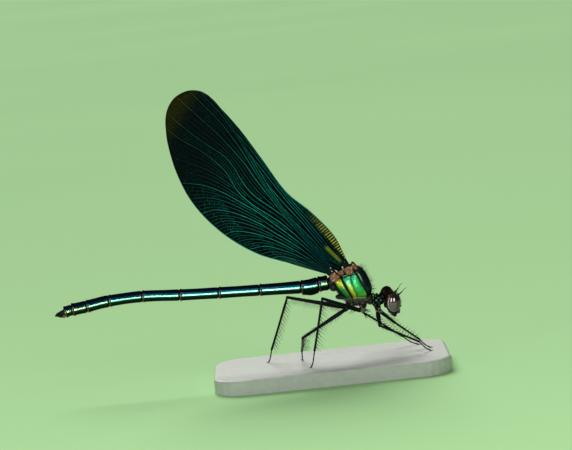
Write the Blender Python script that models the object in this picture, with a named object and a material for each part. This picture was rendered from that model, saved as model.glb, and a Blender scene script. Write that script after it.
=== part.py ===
"""A male beautiful demoiselle, a broad-winged damselfly, at life size on a flat display base.

The animal faces +X with its four wings shut over its back. All places are in metres from a point on
the base's top, below the thorax. Right is -Y. The root empty then moves the whole model so that its
box stands on z = 0 with its middle over the origin.
"""

import math
from itertools import pairwise

import bmesh
import bpy
from mathutils import Euler, Matrix, Vector

MM = 0.001
GAP = 0.3 * MM
SIDES = {"right": -1, "left": 1}

# Display base, whose top is z = 0 for the animal.
BASE_LENGTH = 31.5 * MM
BASE_WIDTH = 20.0 * MM
BASE_THICKNESS = 2.0 * MM
BASE_CENTRE_X = 2.75 * MM
BASE_CORNER_RADIUS = 4.0 * MM
BASE_EDGE_ROUND = 0.4 * MM

# Abdomen: ten segments behind the thorax, each with its length, radius and rise in degrees.
ABDOMEN_START = Vector((3.40, 0.0, 10.42)) * MM
SEGMENTS = (
    (1.35, 0.97, 4.0),
    (2.35, 0.90, 3.0),
    (5.55, 0.73, -1.8),
    (5.50, 0.72, -2.2),
    (5.20, 0.72, -2.8),
    (5.00, 0.72, -3.8),
    (4.50, 0.73, 1.9),
    (3.05, 0.77, 7.9),
    (2.00, 0.78, 7.0),
    (1.05, 0.70, 12.0),
)
SEGMENT_SIDES = 14
GENITAL_BULGE_RADII = Vector((0.95, 0.42, 0.42)) * MM

# Claspers at the end of the abdomen: an upper pair and a lower pair.
CERCUS_LENGTH = 1.35 * MM
PARAPROCT_LENGTH = 0.95 * MM
CLASPER_RADIUS = 0.25 * MM
CERCUS_SPREAD = 0.42 * MM
CERCUS_CLOSE = 0.25
CERCUS_LIFT = 0.22 * MM
CERCUS_DROP = 0.55 * MM
PARAPROCT_LEVEL = 0.62 * MM
PARAPROCT_DROP = 0.20 * MM

# Synthorax, lofted from its underside up to its back: the front and the rear place of each level, as
# x and z, and its half width.
THORAX_LEVELS = (
    ((8.30, 7.25), (5.85, 7.72), 0.55),
    ((8.60, 7.80), (5.25, 8.05), 1.05),
    ((8.98, 8.45), (4.74, 8.60), 1.30),
    ((9.06, 9.20), (4.34, 9.20), 1.42),
    ((8.85, 10.10), (4.04, 9.85), 1.42),
    ((8.52, 11.00), (3.86, 10.45), 1.28),
    ((8.10, 11.75), (3.82, 10.92), 0.98),
    ((7.55, 12.30), (3.98, 11.25), 0.60),
)
THORAX_SQUARENESS = 0.8
THORAX_POINTS = 20

PROTHORAX_CENTRE = Vector((9.51, 0.0, 7.38)) * MM
PROTHORAX_LENGTH = 0.97 * MM
PROTHORAX_RADIUS = 0.90 * MM
PROTHORAX_WIDEN = 1.2
NECK_RADIUS = 0.30 * MM
NECK_FRONT = Vector((10.42, -0.05, 7.06)) * MM
NECK_REAR = Vector((10.25, -0.03, 7.08)) * MM

# Head: its own frame has x out of the face, y to its left and z through its crown.
HEAD_CENTRE = Vector((11.40, 0.0, 7.30)) * MM
HEAD_TURN = Euler((math.radians(14), 0.0, math.radians(16)))
CAPSULE_PROFILE = (
    (-0.62, 0.25),
    (-0.50, 0.72),
    (-0.12, 0.95),
    (0.35, 0.92),
    (0.72, 0.62),
    (0.92, 0.20),
    (0.88, -0.22),
    (0.62, -0.62),
    (0.38, -1.02),
    (-0.10, -1.10),
    (-0.48, -0.85),
    (-0.62, -0.35),
)
CAPSULE_HALF_WIDTH = 0.75 * MM
EYE_CENTRE = Vector((0.05, 1.50, 0.05)) * MM
EYE_RADII = Vector((0.88, 0.85, 1.26)) * MM
EYE_CUT = CAPSULE_HALF_WIDTH + GAP
CLYPEUS_CENTRE = Vector((1.18, 0.0, -0.92)) * MM
CLYPEUS_RADII = Vector((0.30, 0.78, 0.30)) * MM
LABRUM_CENTRE = Vector((1.05, 0.0, -1.82)) * MM
LABRUM_RADII = Vector((0.27, 0.66, 0.28)) * MM
JAW_CENTRE = Vector((0.10, 0.0, -1.96)) * MM
JAW_RADII = Vector((0.45, 0.58, 0.48)) * MM
OCELLI = (Vector((0.78, 0.0, 0.66)) * MM, Vector((0.48, 0.34, 0.90)) * MM, Vector((0.48, -0.34, 0.90)) * MM)
OCELLUS_RADIUS = 0.17 * MM
ANTENNA_ROOT = Vector((1.02, 0.62, 0.72)) * MM
ANTENNA_REACH = Vector((1.10, 0.30, 1.00)) * MM
ANTENNA_RADIUS = 0.25 * MM

# Legs: hip, knee, ankle and toe of each, with the coxa above the hip.
LEGS = {
    "fore_right": ((9.55, -1.60, 5.70), (9.55, -4.30, 4.50), (14.70, -2.00, 1.45), (16.10, -1.50, 0.45)),
    "fore_left": ((10.00, 1.60, 5.55), (11.85, 3.80, 3.55), (14.90, 1.60, 1.22), (16.20, 1.30, 0.45)),
    "middle_right": ((7.20, -1.40, 6.40), (2.36, -4.30, 8.90), (0.60, -5.20, 2.15), (-0.05, -5.40, 0.45)),
    "middle_left": ((7.60, 1.45, 6.25), (7.75, 6.00, 5.12), (12.80, 5.40, 1.30), (14.80, 5.00, 0.45)),
    "hind_right": ((5.35, -1.40, 6.75), (-0.75, -5.00, 4.05), (-1.05, 0.40, 1.45), (-1.10, 2.10, 0.45)),
    "hind_left": ((5.50, 1.40, 6.62), (-2.25, 2.60, 8.65), (-5.10, 2.95, 1.70), (-5.66, 3.00, 0.45)),
}
COXAE = {
    "fore": (9.62, 1.12, 6.22),
    "middle": (7.65, 0.80, 6.74),
    "hind": (6.00, 0.78, 7.12),
}
COXA_RADII = Vector((0.34, 0.34, 0.42)) * MM
FEMUR_RADIUS = 0.30 * MM
TIBIA_RADIUS = 0.25 * MM
TARSUS_RADIUS = 0.25 * MM
KNEE_GAP = 0.34 * MM
FOOT_LEVEL = GAP
SPINE_LENGTH = 1.20 * MM
SPINE_ROOT_RADIUS = 0.16 * MM
SPINE_TIP_RADIUS = 0.02 * MM
SPINE_SPACING = 1.15 * MM
SPINE_BARE_START = 1.00 * MM
SPINE_BARE_END = 0.50 * MM
SPINE_LEAN = math.radians(55)
SPINE_SPLAY = math.radians(32)

# Wings: each place is the distance out along the span and the distance in front of the line from
# the wing's root to its tip, in millimetres.
WING_THICKNESS = 0.45 * MM
WING_MARGIN_THICKNESS = 0.30 * MM
VEIN_HEIGHT = 0.12 * MM
VEIN_FOOT = 0.20 * MM
VEIN_ROOM = 0.30 * MM
FOOT_SHARE = 0.5
VEIN_COLUMNS = 15
WINGS = {
    "hind": {
        "root": (3.95, 12.08),
        "angle": 127.1,
        "inner_face": 1.02,
        "front": (
            (0.30, 0.45),
            (4.0, 0.66),
            (8.4, 0.95),
            (12.5, 1.35),
            (18.8, 2.70),
            (24.0, 3.75),
            (27.0, 4.05),
        ),
        "margin": (
            (29.1, 3.62),
            (30.45, 2.40),
            (30.95, 0.40),
            (29.9, -2.05),
            (27.6, -3.95),
            (23.8, -5.95),
            (16.2, -7.37),
            (8.4, -5.60),
        ),
        "rear": ((0.10, -0.75), (2.0, -1.90), (5.2, -3.75)),
    },
    "fore": {
        "root": (5.88, 12.60),
        "angle": 128.9,
        "inner_face": 0.15,
        "front": (
            (0.05, 0.50),
            (3.8, 1.66),
            (8.3, 1.70),
            (12.5, 1.30),
            (17.8, 2.10),
            (22.5, 2.78),
            (26.5, 2.98),
        ),
        "margin": ((28.9, 2.15), (30.2, -0.10), (29.0, -2.60), (23.8, -5.40), (16.5, -6.30), (9.0, -4.70)),
        "rear": ((0.05, -1.30), (2.2, -1.95), (5.4, -3.05)),
    },
}
VEIN_MARGIN_PLACES = (0.06, 0.13, 0.21, 0.30, 0.40, 0.51, 0.63, 0.76, 0.90)
ARCH_REACH = 0.62
ARCH_DROP = 0.12
ARCH_DROP_GAIN = 0.20
COSTA_FOLLOW = 0.35
HINGES = {"fore": (6.22, 1.36, 11.86), "hind": (4.22, 1.28, 11.36)}
HINGE_RADII = Vector((0.50, 0.32, 0.42)) * MM

# Colour, roughness and metallic value of each finish.
FINISHES = {
    "thorax_green": ((0.010, 0.115, 0.065), 0.25, 0.85),
    "abdomen_blue": ((0.006, 0.050, 0.070), 0.25, 0.85),
    "wing_dark": ((0.004, 0.028, 0.030), 0.35, 0.40),
    "hinge_brown": ((0.300, 0.080, 0.030), 0.45, 0.0),
    "eye_brown": ((0.030, 0.018, 0.014), 0.12, 0.0),
    "leg_black": ((0.010, 0.011, 0.014), 0.35, 0.2),
    "base_pale": ((0.620, 0.600, 0.560), 0.55, 0.0),
}


def clear_scene():
    for old in list(bpy.data.objects):
        bpy.data.objects.remove(old, do_unlink=True)


def make_materials():
    made = {}
    for name, (colour, roughness, metallic) in FINISHES.items():
        material = bpy.data.materials.new(name)
        material.use_nodes = True
        shader = material.node_tree.nodes["Principled BSDF"]
        shader.inputs["Base Color"].default_value = (*colour, 1.0)
        shader.inputs["Roughness"].default_value = roughness
        shader.inputs["Metallic"].default_value = metallic
        made[name] = material
    return made


def add_object(name, data, finish, location=(0, 0, 0), rotation=(0, 0, 0)):
    """Links the data as one named sub-part with its finish, below the root."""
    data.materials.append(MATERIALS[finish])
    item = bpy.data.objects.new(name, data)
    item.location = location
    item.rotation_euler = rotation
    item.parent = ROOT
    PARTS.objects.link(item)
    return item


def mesh_from(bm, name):
    """Turns the bmesh into a smooth shaded mesh with its faces pointing out."""
    bmesh.ops.recalc_face_normals(bm, faces=bm.faces)
    mesh = bpy.data.meshes.new(name)
    bm.to_mesh(mesh)
    bm.free()
    mesh.shade_smooth()
    return mesh


def ellipsoid_bmesh(radii, segments, rings):
    bm = bmesh.new()
    bmesh.ops.create_uvsphere(bm, u_segments=segments, v_segments=rings, radius=1.0)
    bmesh.ops.scale(bm, vec=radii, verts=bm.verts)
    return bm


def add_ellipsoid(name, centre, radii, finish, rotation=(0, 0, 0), segments=12, rings=8):
    bm = ellipsoid_bmesh(radii, segments, rings)
    return add_object(name, mesh_from(bm, name), finish, centre, rotation)


def cut_flat(bm, point, outward):
    """Removes what lies beyond the plane and closes the cut with one flat face."""
    everything = [*bm.verts, *bm.edges, *bm.faces]
    cut = bmesh.ops.bisect_plane(bm, geom=everything, plane_co=point, plane_no=outward, clear_outer=True)
    rim = [element for element in cut["geom_cut"] if isinstance(element, bmesh.types.BMEdge)]
    bmesh.ops.edgeloop_fill(bm, edges=rim)


def loft(rings):
    """Joins rings of equally many points into one closed skin."""
    bm = bmesh.new()
    made = [[bm.verts.new(point) for point in ring] for ring in rings]
    for lower, upper in pairwise(made):
        for i, corner in enumerate(lower):
            bm.faces.new((lower[i - 1], corner, upper[i], upper[i - 1]))
    bm.faces.new(made[0])
    bm.faces.new(made[-1])
    return bm


def tube_mesh(name, points, radii, sides_level=1):
    """A tapered round tube through the points, with welded flat ends."""
    curve = bpy.data.curves.new(name, "CURVE")
    curve.dimensions = "3D"
    curve.bevel_depth = 1.0
    curve.bevel_resolution = sides_level
    curve.use_fill_caps = True
    spline = curve.splines.new("POLY")
    spline.points.add(len(points) - 1)
    for control, point, radius in zip(spline.points, points, radii):
        control.co = (*point, 1.0)
        control.radius = radius
    guide = bpy.data.objects.new(name, curve)
    bpy.context.scene.collection.objects.link(guide)
    graph = bpy.context.evaluated_depsgraph_get()
    mesh = bpy.data.meshes.new_from_object(guide.evaluated_get(graph))
    bpy.data.objects.remove(guide, do_unlink=True)
    bpy.data.curves.remove(curve)
    bm = bmesh.new()
    bm.from_mesh(mesh)
    bpy.data.meshes.remove(mesh)
    bmesh.ops.remove_doubles(bm, verts=bm.verts, dist=0.001 * MM)
    return bm


def add_tube(name, points, radii, sides_level=1):
    """Links a tapered tube as one black sub-part."""
    bm = tube_mesh(name, points, radii, sides_level)
    return add_object(name, mesh_from(bm, name), "leg_black")


def largest_body(bm):
    """Deletes every closed surface but the largest."""
    left = set(bm.verts)
    bodies = []
    while left:
        front = [left.pop()]
        body = set(front)
        while front:
            corner = front.pop()
            for edge in corner.link_edges:
                other = edge.other_vert(corner)
                if other not in body:
                    body.add(other)
                    front.append(other)
        left -= body
        bodies.append(body)
    keep = max(bodies, key=len)
    dropped = [vert for vert in bm.verts if vert not in keep]
    bmesh.ops.delete(bm, geom=dropped, context="VERTS")


def fuse(name, core, pieces):
    """Joins closed bmeshes to the core by one union and returns the joined mesh."""
    helpers = bpy.data.collections.new(name + "_pieces")
    bpy.context.scene.collection.children.link(helpers)
    for piece in pieces:
        helpers.objects.link(bpy.data.objects.new(name + "_piece", mesh_from(piece, name + "_piece")))
    host = bpy.data.objects.new(name + "_host", mesh_from(core, name + "_host"))
    bpy.context.scene.collection.objects.link(host)
    union = host.modifiers.new("join", "BOOLEAN")
    union.operation = "UNION"
    union.operand_type = "COLLECTION"
    union.collection = helpers
    union.solver = "EXACT"
    graph = bpy.context.evaluated_depsgraph_get()
    joined = bpy.data.meshes.new_from_object(host.evaluated_get(graph))
    for used in [host, *helpers.objects]:
        bpy.data.objects.remove(used, do_unlink=True)
    bpy.data.collections.remove(helpers)
    bm = bmesh.new()
    bm.from_mesh(joined)
    bpy.data.meshes.remove(joined)
    bmesh.ops.triangulate(bm, faces=bm.faces)
    largest_body(bm)
    return mesh_from(bm, name)


def smooth_curve(points, count):
    """Places of equal spacing along a smooth curve through the points."""
    knots = [2 * points[0] - points[1], *points, 2 * points[-1] - points[-2]]
    fine = []
    for a, b, c, d in zip(knots, knots[1:], knots[2:], knots[3:]):
        for step in range(16):
            t = step / 16
            square = (2 * a - 5 * b + 4 * c - d) * t**2
            cube = (3 * b - a - 3 * c + d) * t**3
            fine.append(0.5 * (2 * b + (c - a) * t + square + cube))
    fine.append(points[-1])
    lengths = [0.0]
    for a, b in pairwise(fine):
        lengths.append(lengths[-1] + (b - a).length)
    places = []
    at = 0
    for i in range(count):
        wanted = lengths[-1] * i / (count - 1)
        while at < len(fine) - 2 and lengths[at + 1] < wanted:
            at += 1
        share = (wanted - lengths[at]) / (lengths[at + 1] - lengths[at])
        places.append(fine[at].lerp(fine[at + 1], min(share, 1.0)))
    return places


def make_base():
    bm = bmesh.new()
    bmesh.ops.create_cube(bm, size=1.0)
    bmesh.ops.scale(bm, vec=(BASE_LENGTH, BASE_WIDTH, BASE_THICKNESS), verts=bm.verts)
    upright = []
    for edge in bm.edges:
        low, high = edge.verts
        if abs(low.co.z - high.co.z) > BASE_THICKNESS / 2:
            upright.append(edge)
    bmesh.ops.bevel(bm, geom=upright, offset=BASE_CORNER_RADIUS, segments=6, profile=0.5, affect="EDGES")
    rim = [edge for edge in bm.edges if all(vert.co.z > 0 for vert in edge.verts)]
    bmesh.ops.bevel(bm, geom=rim, offset=BASE_EDGE_ROUND, segments=2, profile=0.5, affect="EDGES")
    mesh = mesh_from(bm, "stand_base")
    mesh.set_sharp_from_angle(angle=math.radians(30))
    add_object("stand_base", mesh, "base_pale", (BASE_CENTRE_X, 0, -BASE_THICKNESS / 2))


def segment_profile(length, radius):
    """Distance from the front and radius along one abdomen segment, which flares at both ends."""
    return (
        (0.0, 0.0),
        (0.0, radius * 0.80),
        (0.12 * MM, radius * 0.98),
        (length * 0.25, radius * 0.96),
        (length * 0.75, radius * 0.97),
        (length - 0.22 * MM, radius * 1.06),
        (length, radius * 0.88),
        (length, 0.0),
    )


def turned_bmesh(profile, sides):
    """A solid of revolution about x, from pairs of distance along -x and radius."""
    rings = []
    for along, radius in profile[1:-1]:
        turn = [2 * math.pi * i / sides for i in range(sides)]
        rings.append([Vector((-along, radius * math.cos(a), radius * math.sin(a))) for a in turn])
    return loft(rings)


def make_abdomen():
    """Ten segments end to end, and the four claspers behind the last."""
    place = ABDOMEN_START.copy()
    for number, (length, radius, dip) in enumerate(SEGMENTS, 1):
        name = f"abdomen_s{number}"
        length, radius = length * MM, radius * MM
        bm = turned_bmesh(segment_profile(length - GAP, radius), SEGMENT_SIDES)
        turn = Euler((0.0, -math.radians(dip), 0.0))
        if number == 2:
            bulge = ellipsoid_bmesh(GENITAL_BULGE_RADII, 10, 6)
            bmesh.ops.translate(bulge, vec=(-length * 0.45, 0, -radius * 0.80), verts=bulge.verts)
            mesh = fuse(name, bm, [bulge])
        else:
            mesh = mesh_from(bm, name)
        add_object(name, mesh, "abdomen_blue", place, turn)
        place = place + Matrix.Rotation(-math.radians(dip), 3, "Y") @ Vector((-length, 0, 0))
    for side, sign in SIDES.items():
        upper = []
        for t in (0.0, 0.3, 0.6, 0.85, 1.0):
            across = sign * CERCUS_SPREAD * (1 - CERCUS_CLOSE * t * t)
            upper.append(place + Vector((-CERCUS_LENGTH * t, across, CERCUS_LIFT - CERCUS_DROP * t * t)))
        radii = [CLASPER_RADIUS * share for share in (1.0, 1.0, 0.95, 0.7, 0.35)]
        add_tube(f"cercus_{side}", upper, radii)
        lower = []
        for t in (0.0, 0.5, 1.0):
            down = PARAPROCT_LEVEL + PARAPROCT_DROP * t
            lower.append(place + Vector((-PARAPROCT_LENGTH * t, sign * CERCUS_SPREAD, -down)))
        radii = [CLASPER_RADIUS * share for share in (1.0, 0.9, 0.4)]
        add_tube(f"paraproct_{side}", lower, radii)


def make_thorax():
    """The synthorax, the prothorax with its three lobes, and the neck."""
    rings = []
    for (front_x, front_z), (rear_x, rear_z), half_width in THORAX_LEVELS:
        front = Vector((front_x, 0, front_z)) * MM
        rear = Vector((rear_x, 0, rear_z)) * MM
        middle, reach = (front + rear) / 2, (front - rear) / 2
        ring = []
        for i in range(THORAX_POINTS):
            turn = 2 * math.pi * i / THORAX_POINTS
            along = math.copysign(abs(math.cos(turn)) ** THORAX_SQUARENESS, math.cos(turn))
            across = math.copysign(abs(math.sin(turn)) ** THORAX_SQUARENESS, math.sin(turn))
            ring.append(middle + reach * along + Vector((0, half_width * MM * across, 0)))
        rings.append(ring)
    add_object("synthorax", mesh_from(loft(rings), "synthorax"), "thorax_green")
    length, radius = PROTHORAX_LENGTH, PROTHORAX_RADIUS
    lobes = (
        (0.0, 0.0),
        (0.0, radius * 0.62),
        (length * 0.14, radius * 0.82),
        (length * 0.30, radius * 0.76),
        (length * 0.55, radius),
        (length * 0.78, radius * 0.84),
        (length * 0.90, radius * 0.92),
        (length, radius * 0.60),
        (length, 0.0),
    )
    bm = turned_bmesh(lobes, 16)
    bmesh.ops.scale(bm, vec=(1.0, PROTHORAX_WIDEN, 1.0), verts=bm.verts)
    place = PROTHORAX_CENTRE + Vector((length / 2, 0, 0))
    add_object("prothorax", mesh_from(bm, "prothorax"), "thorax_green", place)
    add_tube("neck", [NECK_REAR, NECK_FRONT], [NECK_RADIUS, NECK_RADIUS * 0.9], 2)


def make_head():
    """The capsule between the eyes, with face, lip, jaws, eyes and antennae round it."""
    turn = HEAD_TURN.to_matrix()
    rings = []
    for share, size in ((-1.0, 0.92), (-0.55, 1.0), (0.0, 1.03), (0.55, 1.0), (1.0, 0.92)):
        across = share * CAPSULE_HALF_WIDTH
        rings.append([Vector((x * size * MM, across, z * size * MM)) for x, z in CAPSULE_PROFILE])
    ocelli = []
    for place in OCELLI:
        bead = ellipsoid_bmesh(Vector((1, 1, 1)) * OCELLUS_RADIUS, 8, 6)
        bmesh.ops.translate(bead, vec=place, verts=bead.verts)
        ocelli.append(bead)
    add_object("head", fuse("head", loft(rings), ocelli), "leg_black", HEAD_CENTRE, HEAD_TURN)
    face = (
        ("clypeus", CLYPEUS_CENTRE, CLYPEUS_RADII),
        ("labrum", LABRUM_CENTRE, LABRUM_RADII),
        ("jaws", JAW_CENTRE, JAW_RADII),
    )
    for name, centre, radii in face:
        add_ellipsoid(name, HEAD_CENTRE + turn @ centre, radii, "leg_black", HEAD_TURN, 14, 8)
    for side, sign in SIDES.items():
        mirror = Vector((1, sign, 1))
        bm = ellipsoid_bmesh(EYE_RADII, 18, 12)
        cut_flat(bm, Vector((0, sign * (EYE_CUT - EYE_CENTRE.y), 0)), Vector((0, -sign, 0)))
        centre = HEAD_CENTRE + turn @ (EYE_CENTRE * mirror)
        add_object(f"eye_{side}", mesh_from(bm, "eye"), "eye_brown", centre, HEAD_TURN)
        root = HEAD_CENTRE + turn @ (ANTENNA_ROOT * mirror)
        reach = turn @ (ANTENNA_REACH * mirror)
        points = [root + reach * t for t in (0.0, 0.22, 0.45, 1.0)]
        radii = [ANTENNA_RADIUS * share for share in (0.9, 1.0, 0.6, 0.15)]
        add_tube(f"antenna_{side}", points, radii)


def spine_bmesh(root, direction, length):
    bm = bmesh.new()
    bmesh.ops.create_cone(
        bm, cap_ends=True, segments=3, radius1=SPINE_ROOT_RADIUS, radius2=SPINE_TIP_RADIUS, depth=length
    )
    lift = Matrix.Translation((0, 0, length / 2))
    turn = direction.to_track_quat("Z", "Y").to_matrix().to_4x4()
    bmesh.ops.transform(bm, matrix=Matrix.Translation(root) @ turn @ lift, verts=bm.verts)
    return bm


def spiny_rod(name, start, end, radii, flexor):
    """A straight leg piece with two rows of spines on its flexor side."""
    along = (end - start).normalized()
    inward = (flexor - along * flexor.dot(along)).normalized()
    points = [start.lerp(end, share) for share in (0.0, 0.5, 1.0)]
    core = tube_mesh(name, points, radii, 1)
    length = (end - start).length
    count = int((length - SPINE_BARE_START - SPINE_BARE_END) / SPINE_SPACING) + 1
    spines = []
    for row in (-1, 1):
        out = Matrix.Rotation(row * SPINE_SPLAY, 3, along) @ inward
        direction = out * math.sin(SPINE_LEAN) + along * math.cos(SPINE_LEAN)
        for i in range(count):
            place = start + along * (SPINE_BARE_START + i * SPINE_SPACING)
            spines.append(spine_bmesh(place, direction, SPINE_LENGTH))
    return fuse(name, core, spines)


def make_legs():
    """Six legs, each with a coxa, a femur, a tibia and a tarsus that ends in a small flat."""
    for leg, corners in LEGS.items():
        rank, side = leg.split("_")
        sign = SIDES[side]
        hip, knee, ankle, toe = (Vector(corner) * MM for corner in corners)
        coxa = Vector(COXAE[rank]) * MM
        coxa.y *= sign
        add_ellipsoid(f"coxa_{leg}", coxa, COXA_RADII, "leg_black", segments=10, rings=6)
        thigh = (knee - hip).normalized()
        shin = (ankle - knee).normalized()
        femur_end = knee - thigh * (KNEE_GAP + GAP / 2)
        radii = [FEMUR_RADIUS * share for share in (1.0, 0.95, 0.85)]
        mesh = spiny_rod(f"femur_{leg}", hip, femur_end, radii, shin)
        add_object(f"femur_{leg}", mesh, "leg_black")
        tibia_start = knee + shin * KNEE_GAP
        tibia_end = ankle - shin * (GAP / 2)
        radii = [TIBIA_RADIUS * share for share in (1.0, 1.0, 0.9)]
        mesh = spiny_rod(f"tibia_{leg}", tibia_start, tibia_end, radii, -thigh)
        add_object(f"tibia_{leg}", mesh, "leg_black")
        start = ankle + shin * (GAP / 2)
        middle = start.lerp(toe, 0.55)
        middle.z = max(toe.z, middle.z * 0.75)
        foot = tube_mesh(f"tarsus_{leg}", [start, middle, toe], [TARSUS_RADIUS] * 3)
        cut_flat(foot, Vector((0, 0, FOOT_LEVEL)), Vector((0, 0, -1)))
        add_object(f"tarsus_{leg}", mesh_from(foot, "tarsus"), "leg_black")


def blade_points(places):
    """Places on the wing in its own frame, where x runs out to the tip and the front edge is at -z."""
    return [Vector((out, 0, -ahead)) * MM for out, ahead in places]


def arched(root, end, place, t):
    """A point on the plain arch of a vein, which leaves along the span and bends down to the margin."""
    bend = Vector((
        root.x + (end.x - root.x) * ARCH_REACH,
        0,
        root.z + (end.z - root.z) * (ARCH_DROP + ARCH_DROP_GAIN * place),
    ))
    return root * (1 - t) ** 2 + bend * (2 * t * (1 - t)) + end * t * t


def wing_paths(shape):
    """Lines of points from the wing's root out to its margin: each main vein, and the fold between two."""
    front, rear = blade_points(shape["front"]), blade_points(shape["rear"])
    margin = smooth_curve([front[-1], *blade_points(shape["margin"]), rear[-1]], 101)
    costa = smooth_curve(front, VEIN_COLUMNS + 1)
    ends = [0.0, *VEIN_MARGIN_PLACES, 1.0]
    places = [ends[0]]
    for before, after in pairwise(ends):
        places += [(before + after) / 2, after]
    paths = [costa]
    for place in places[1:-1]:
        root = front[0].lerp(rear[0], place)
        end = margin[round(place * 100)]
        follow = max(0.0, 1 - place / COSTA_FOLLOW) ** 2
        path = []
        for i in range(VEIN_COLUMNS + 1):
            t = i / VEIN_COLUMNS
            shift = costa[i] - arched(front[0], front[-1], 0, t)
            path.append(arched(root, end, place, t) + shift * follow)
        paths.append(path)
    paths.append(smooth_curve(rear, VEIN_COLUMNS + 1))
    return paths


def wing_rows(paths):
    """Rows from front to rear, each place with its height over the membrane: crest, foot, fold, foot."""
    rows = []
    for number, path in enumerate(paths):
        if number % 2:
            rows.append([(point, 0.0) for point in path])
            continue
        beside = [paths[k] for k in (number - 1, number + 1) if 0 <= k < len(paths)]
        crest = []
        for i, point in enumerate(path):
            room = min((other[i] - point).length for other in beside)
            crest.append((point, VEIN_HEIGHT * min(1.0, room / VEIN_ROOM)))
        feet = []
        for other in beside:
            steps = [other[i] - point for i, point in enumerate(path)]
            shares = [min(FOOT_SHARE, VEIN_FOOT / step.length) for step in steps]
            feet.append([(point + step * share, 0.0) for point, step, share in zip(path, steps, shares)])
        if number == 0:
            rows += [crest, feet[0]]
        elif len(feet) == 1:
            rows += [feet[0], crest]
        else:
            rows += [feet[0], crest, feet[1]]
    return rows


def wing_bmesh(shape, sign):
    """A flat blade whose outer face carries the veins as ridges and whose inner face is plain."""
    inner = shape["inner_face"] * MM
    rows = wing_rows(wing_paths(shape))
    bm = bmesh.new()
    grid = []
    for row in rows:
        line = []
        for i, (point, height) in enumerate(row):
            share = i / VEIN_COLUMNS
            thickness = WING_THICKNESS if share < 0.99 else WING_MARGIN_THICKNESS
            line.append(bm.verts.new((point.x, sign * (inner + thickness + height), point.z)))
        grid.append(line)
    for lower, upper in pairwise(grid):
        for i in range(VEIN_COLUMNS):
            bm.faces.new((lower[i], lower[i + 1], upper[i + 1], upper[i]))
    tips = [line[-1] for line in grid[1:-1]]
    roots = [line[0] for line in grid[-2:0:-1]]
    rim = grid[0][:] + tips + grid[-1][::-1] + roots
    back = [bm.verts.new((vert.co.x, sign * inner, vert.co.z)) for vert in rim]
    for i, vert in enumerate(rim):
        bm.faces.new((rim[i - 1], vert, back[i], back[i - 1]))
    bm.faces.new(back)
    return bm


def make_wings():
    """Four shut wings, the hind pair outermost, and the brown hinge plate of each."""
    for pair, shape in WINGS.items():
        x, z = shape["root"]
        turn = Euler((0.0, -math.radians(shape["angle"]), 0.0))
        for side, sign in SIDES.items():
            name = f"wing_{pair}_{side}"
            mesh = mesh_from(wing_bmesh(shape, sign), name)
            mesh.shade_flat()
            add_object(name, mesh, "wing_dark", Vector((x, 0, z)) * MM, turn)
            centre = Vector(HINGES[pair]) * MM
            centre.y *= sign
            add_ellipsoid(f"hinge_{pair}_{side}", centre, HINGE_RADII, "hinge_brown")


def centre_over_origin():
    """Moves the root so that the model's box stands on z = 0 with its middle over the origin."""
    bpy.context.view_layer.update()
    graph = bpy.context.evaluated_depsgraph_get()
    corners = []
    for item in PARTS.objects:
        if item.type == "MESH":
            shown = item.evaluated_get(graph)
            corners += [shown.matrix_world @ vert.co for vert in shown.data.vertices]
    low = [min(corner[axis] for corner in corners) for axis in range(3)]
    high = [max(corner[axis] for corner in corners) for axis in range(3)]
    ROOT.location = (-(low[0] + high[0]) / 2, -(low[1] + high[1]) / 2, -low[2])


clear_scene()
PARTS = bpy.data.collections.new("damselfly")
bpy.context.scene.collection.children.link(PARTS)
ROOT = bpy.data.objects.new("damselfly_root", None)
PARTS.objects.link(ROOT)
MATERIALS = make_materials()
make_base()
make_abdomen()
make_thorax()
make_head()
make_legs()
make_wings()
centre_over_origin()
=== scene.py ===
"""Looks of a male beautiful demoiselle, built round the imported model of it.

Shapes are worked out in millimetres in the animal's own frame: +X to the head, -Y to its right, and
z = 0 on the top of the display base, below the thorax. lay() moves them into the frame of the part.
"""

import math
from itertools import pairwise

import bmesh
import bpy
import numpy as np
from mathutils import Euler, Matrix, Vector


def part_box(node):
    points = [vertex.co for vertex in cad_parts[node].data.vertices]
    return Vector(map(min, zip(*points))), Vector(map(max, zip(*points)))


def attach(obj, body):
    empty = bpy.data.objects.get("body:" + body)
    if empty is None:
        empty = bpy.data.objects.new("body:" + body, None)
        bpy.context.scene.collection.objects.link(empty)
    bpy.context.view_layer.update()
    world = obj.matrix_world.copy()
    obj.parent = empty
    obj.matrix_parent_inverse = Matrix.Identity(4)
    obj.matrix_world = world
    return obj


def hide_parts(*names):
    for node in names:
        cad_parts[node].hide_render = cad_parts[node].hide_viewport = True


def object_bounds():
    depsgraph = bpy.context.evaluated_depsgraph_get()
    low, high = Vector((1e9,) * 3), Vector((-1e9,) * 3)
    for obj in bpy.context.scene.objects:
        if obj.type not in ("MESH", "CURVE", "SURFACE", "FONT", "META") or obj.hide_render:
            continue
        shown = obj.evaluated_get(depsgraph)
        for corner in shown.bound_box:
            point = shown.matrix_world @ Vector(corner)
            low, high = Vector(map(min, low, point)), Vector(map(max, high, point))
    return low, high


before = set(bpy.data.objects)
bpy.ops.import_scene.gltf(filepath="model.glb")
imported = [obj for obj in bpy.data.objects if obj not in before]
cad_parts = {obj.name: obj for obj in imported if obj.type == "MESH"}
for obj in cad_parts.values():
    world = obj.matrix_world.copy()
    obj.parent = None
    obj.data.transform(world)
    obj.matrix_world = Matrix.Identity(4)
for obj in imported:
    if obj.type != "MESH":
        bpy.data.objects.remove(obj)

CAD_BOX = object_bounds()
MM = 0.001
RIGHT, LEFT = -1, 1
SIDES = {"right": RIGHT, "left": LEFT}
SEED = 7
UP = (0.0, 0.0, 1.0)
CHANCE = np.random.default_rng(SEED)
PIECES = {}

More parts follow.
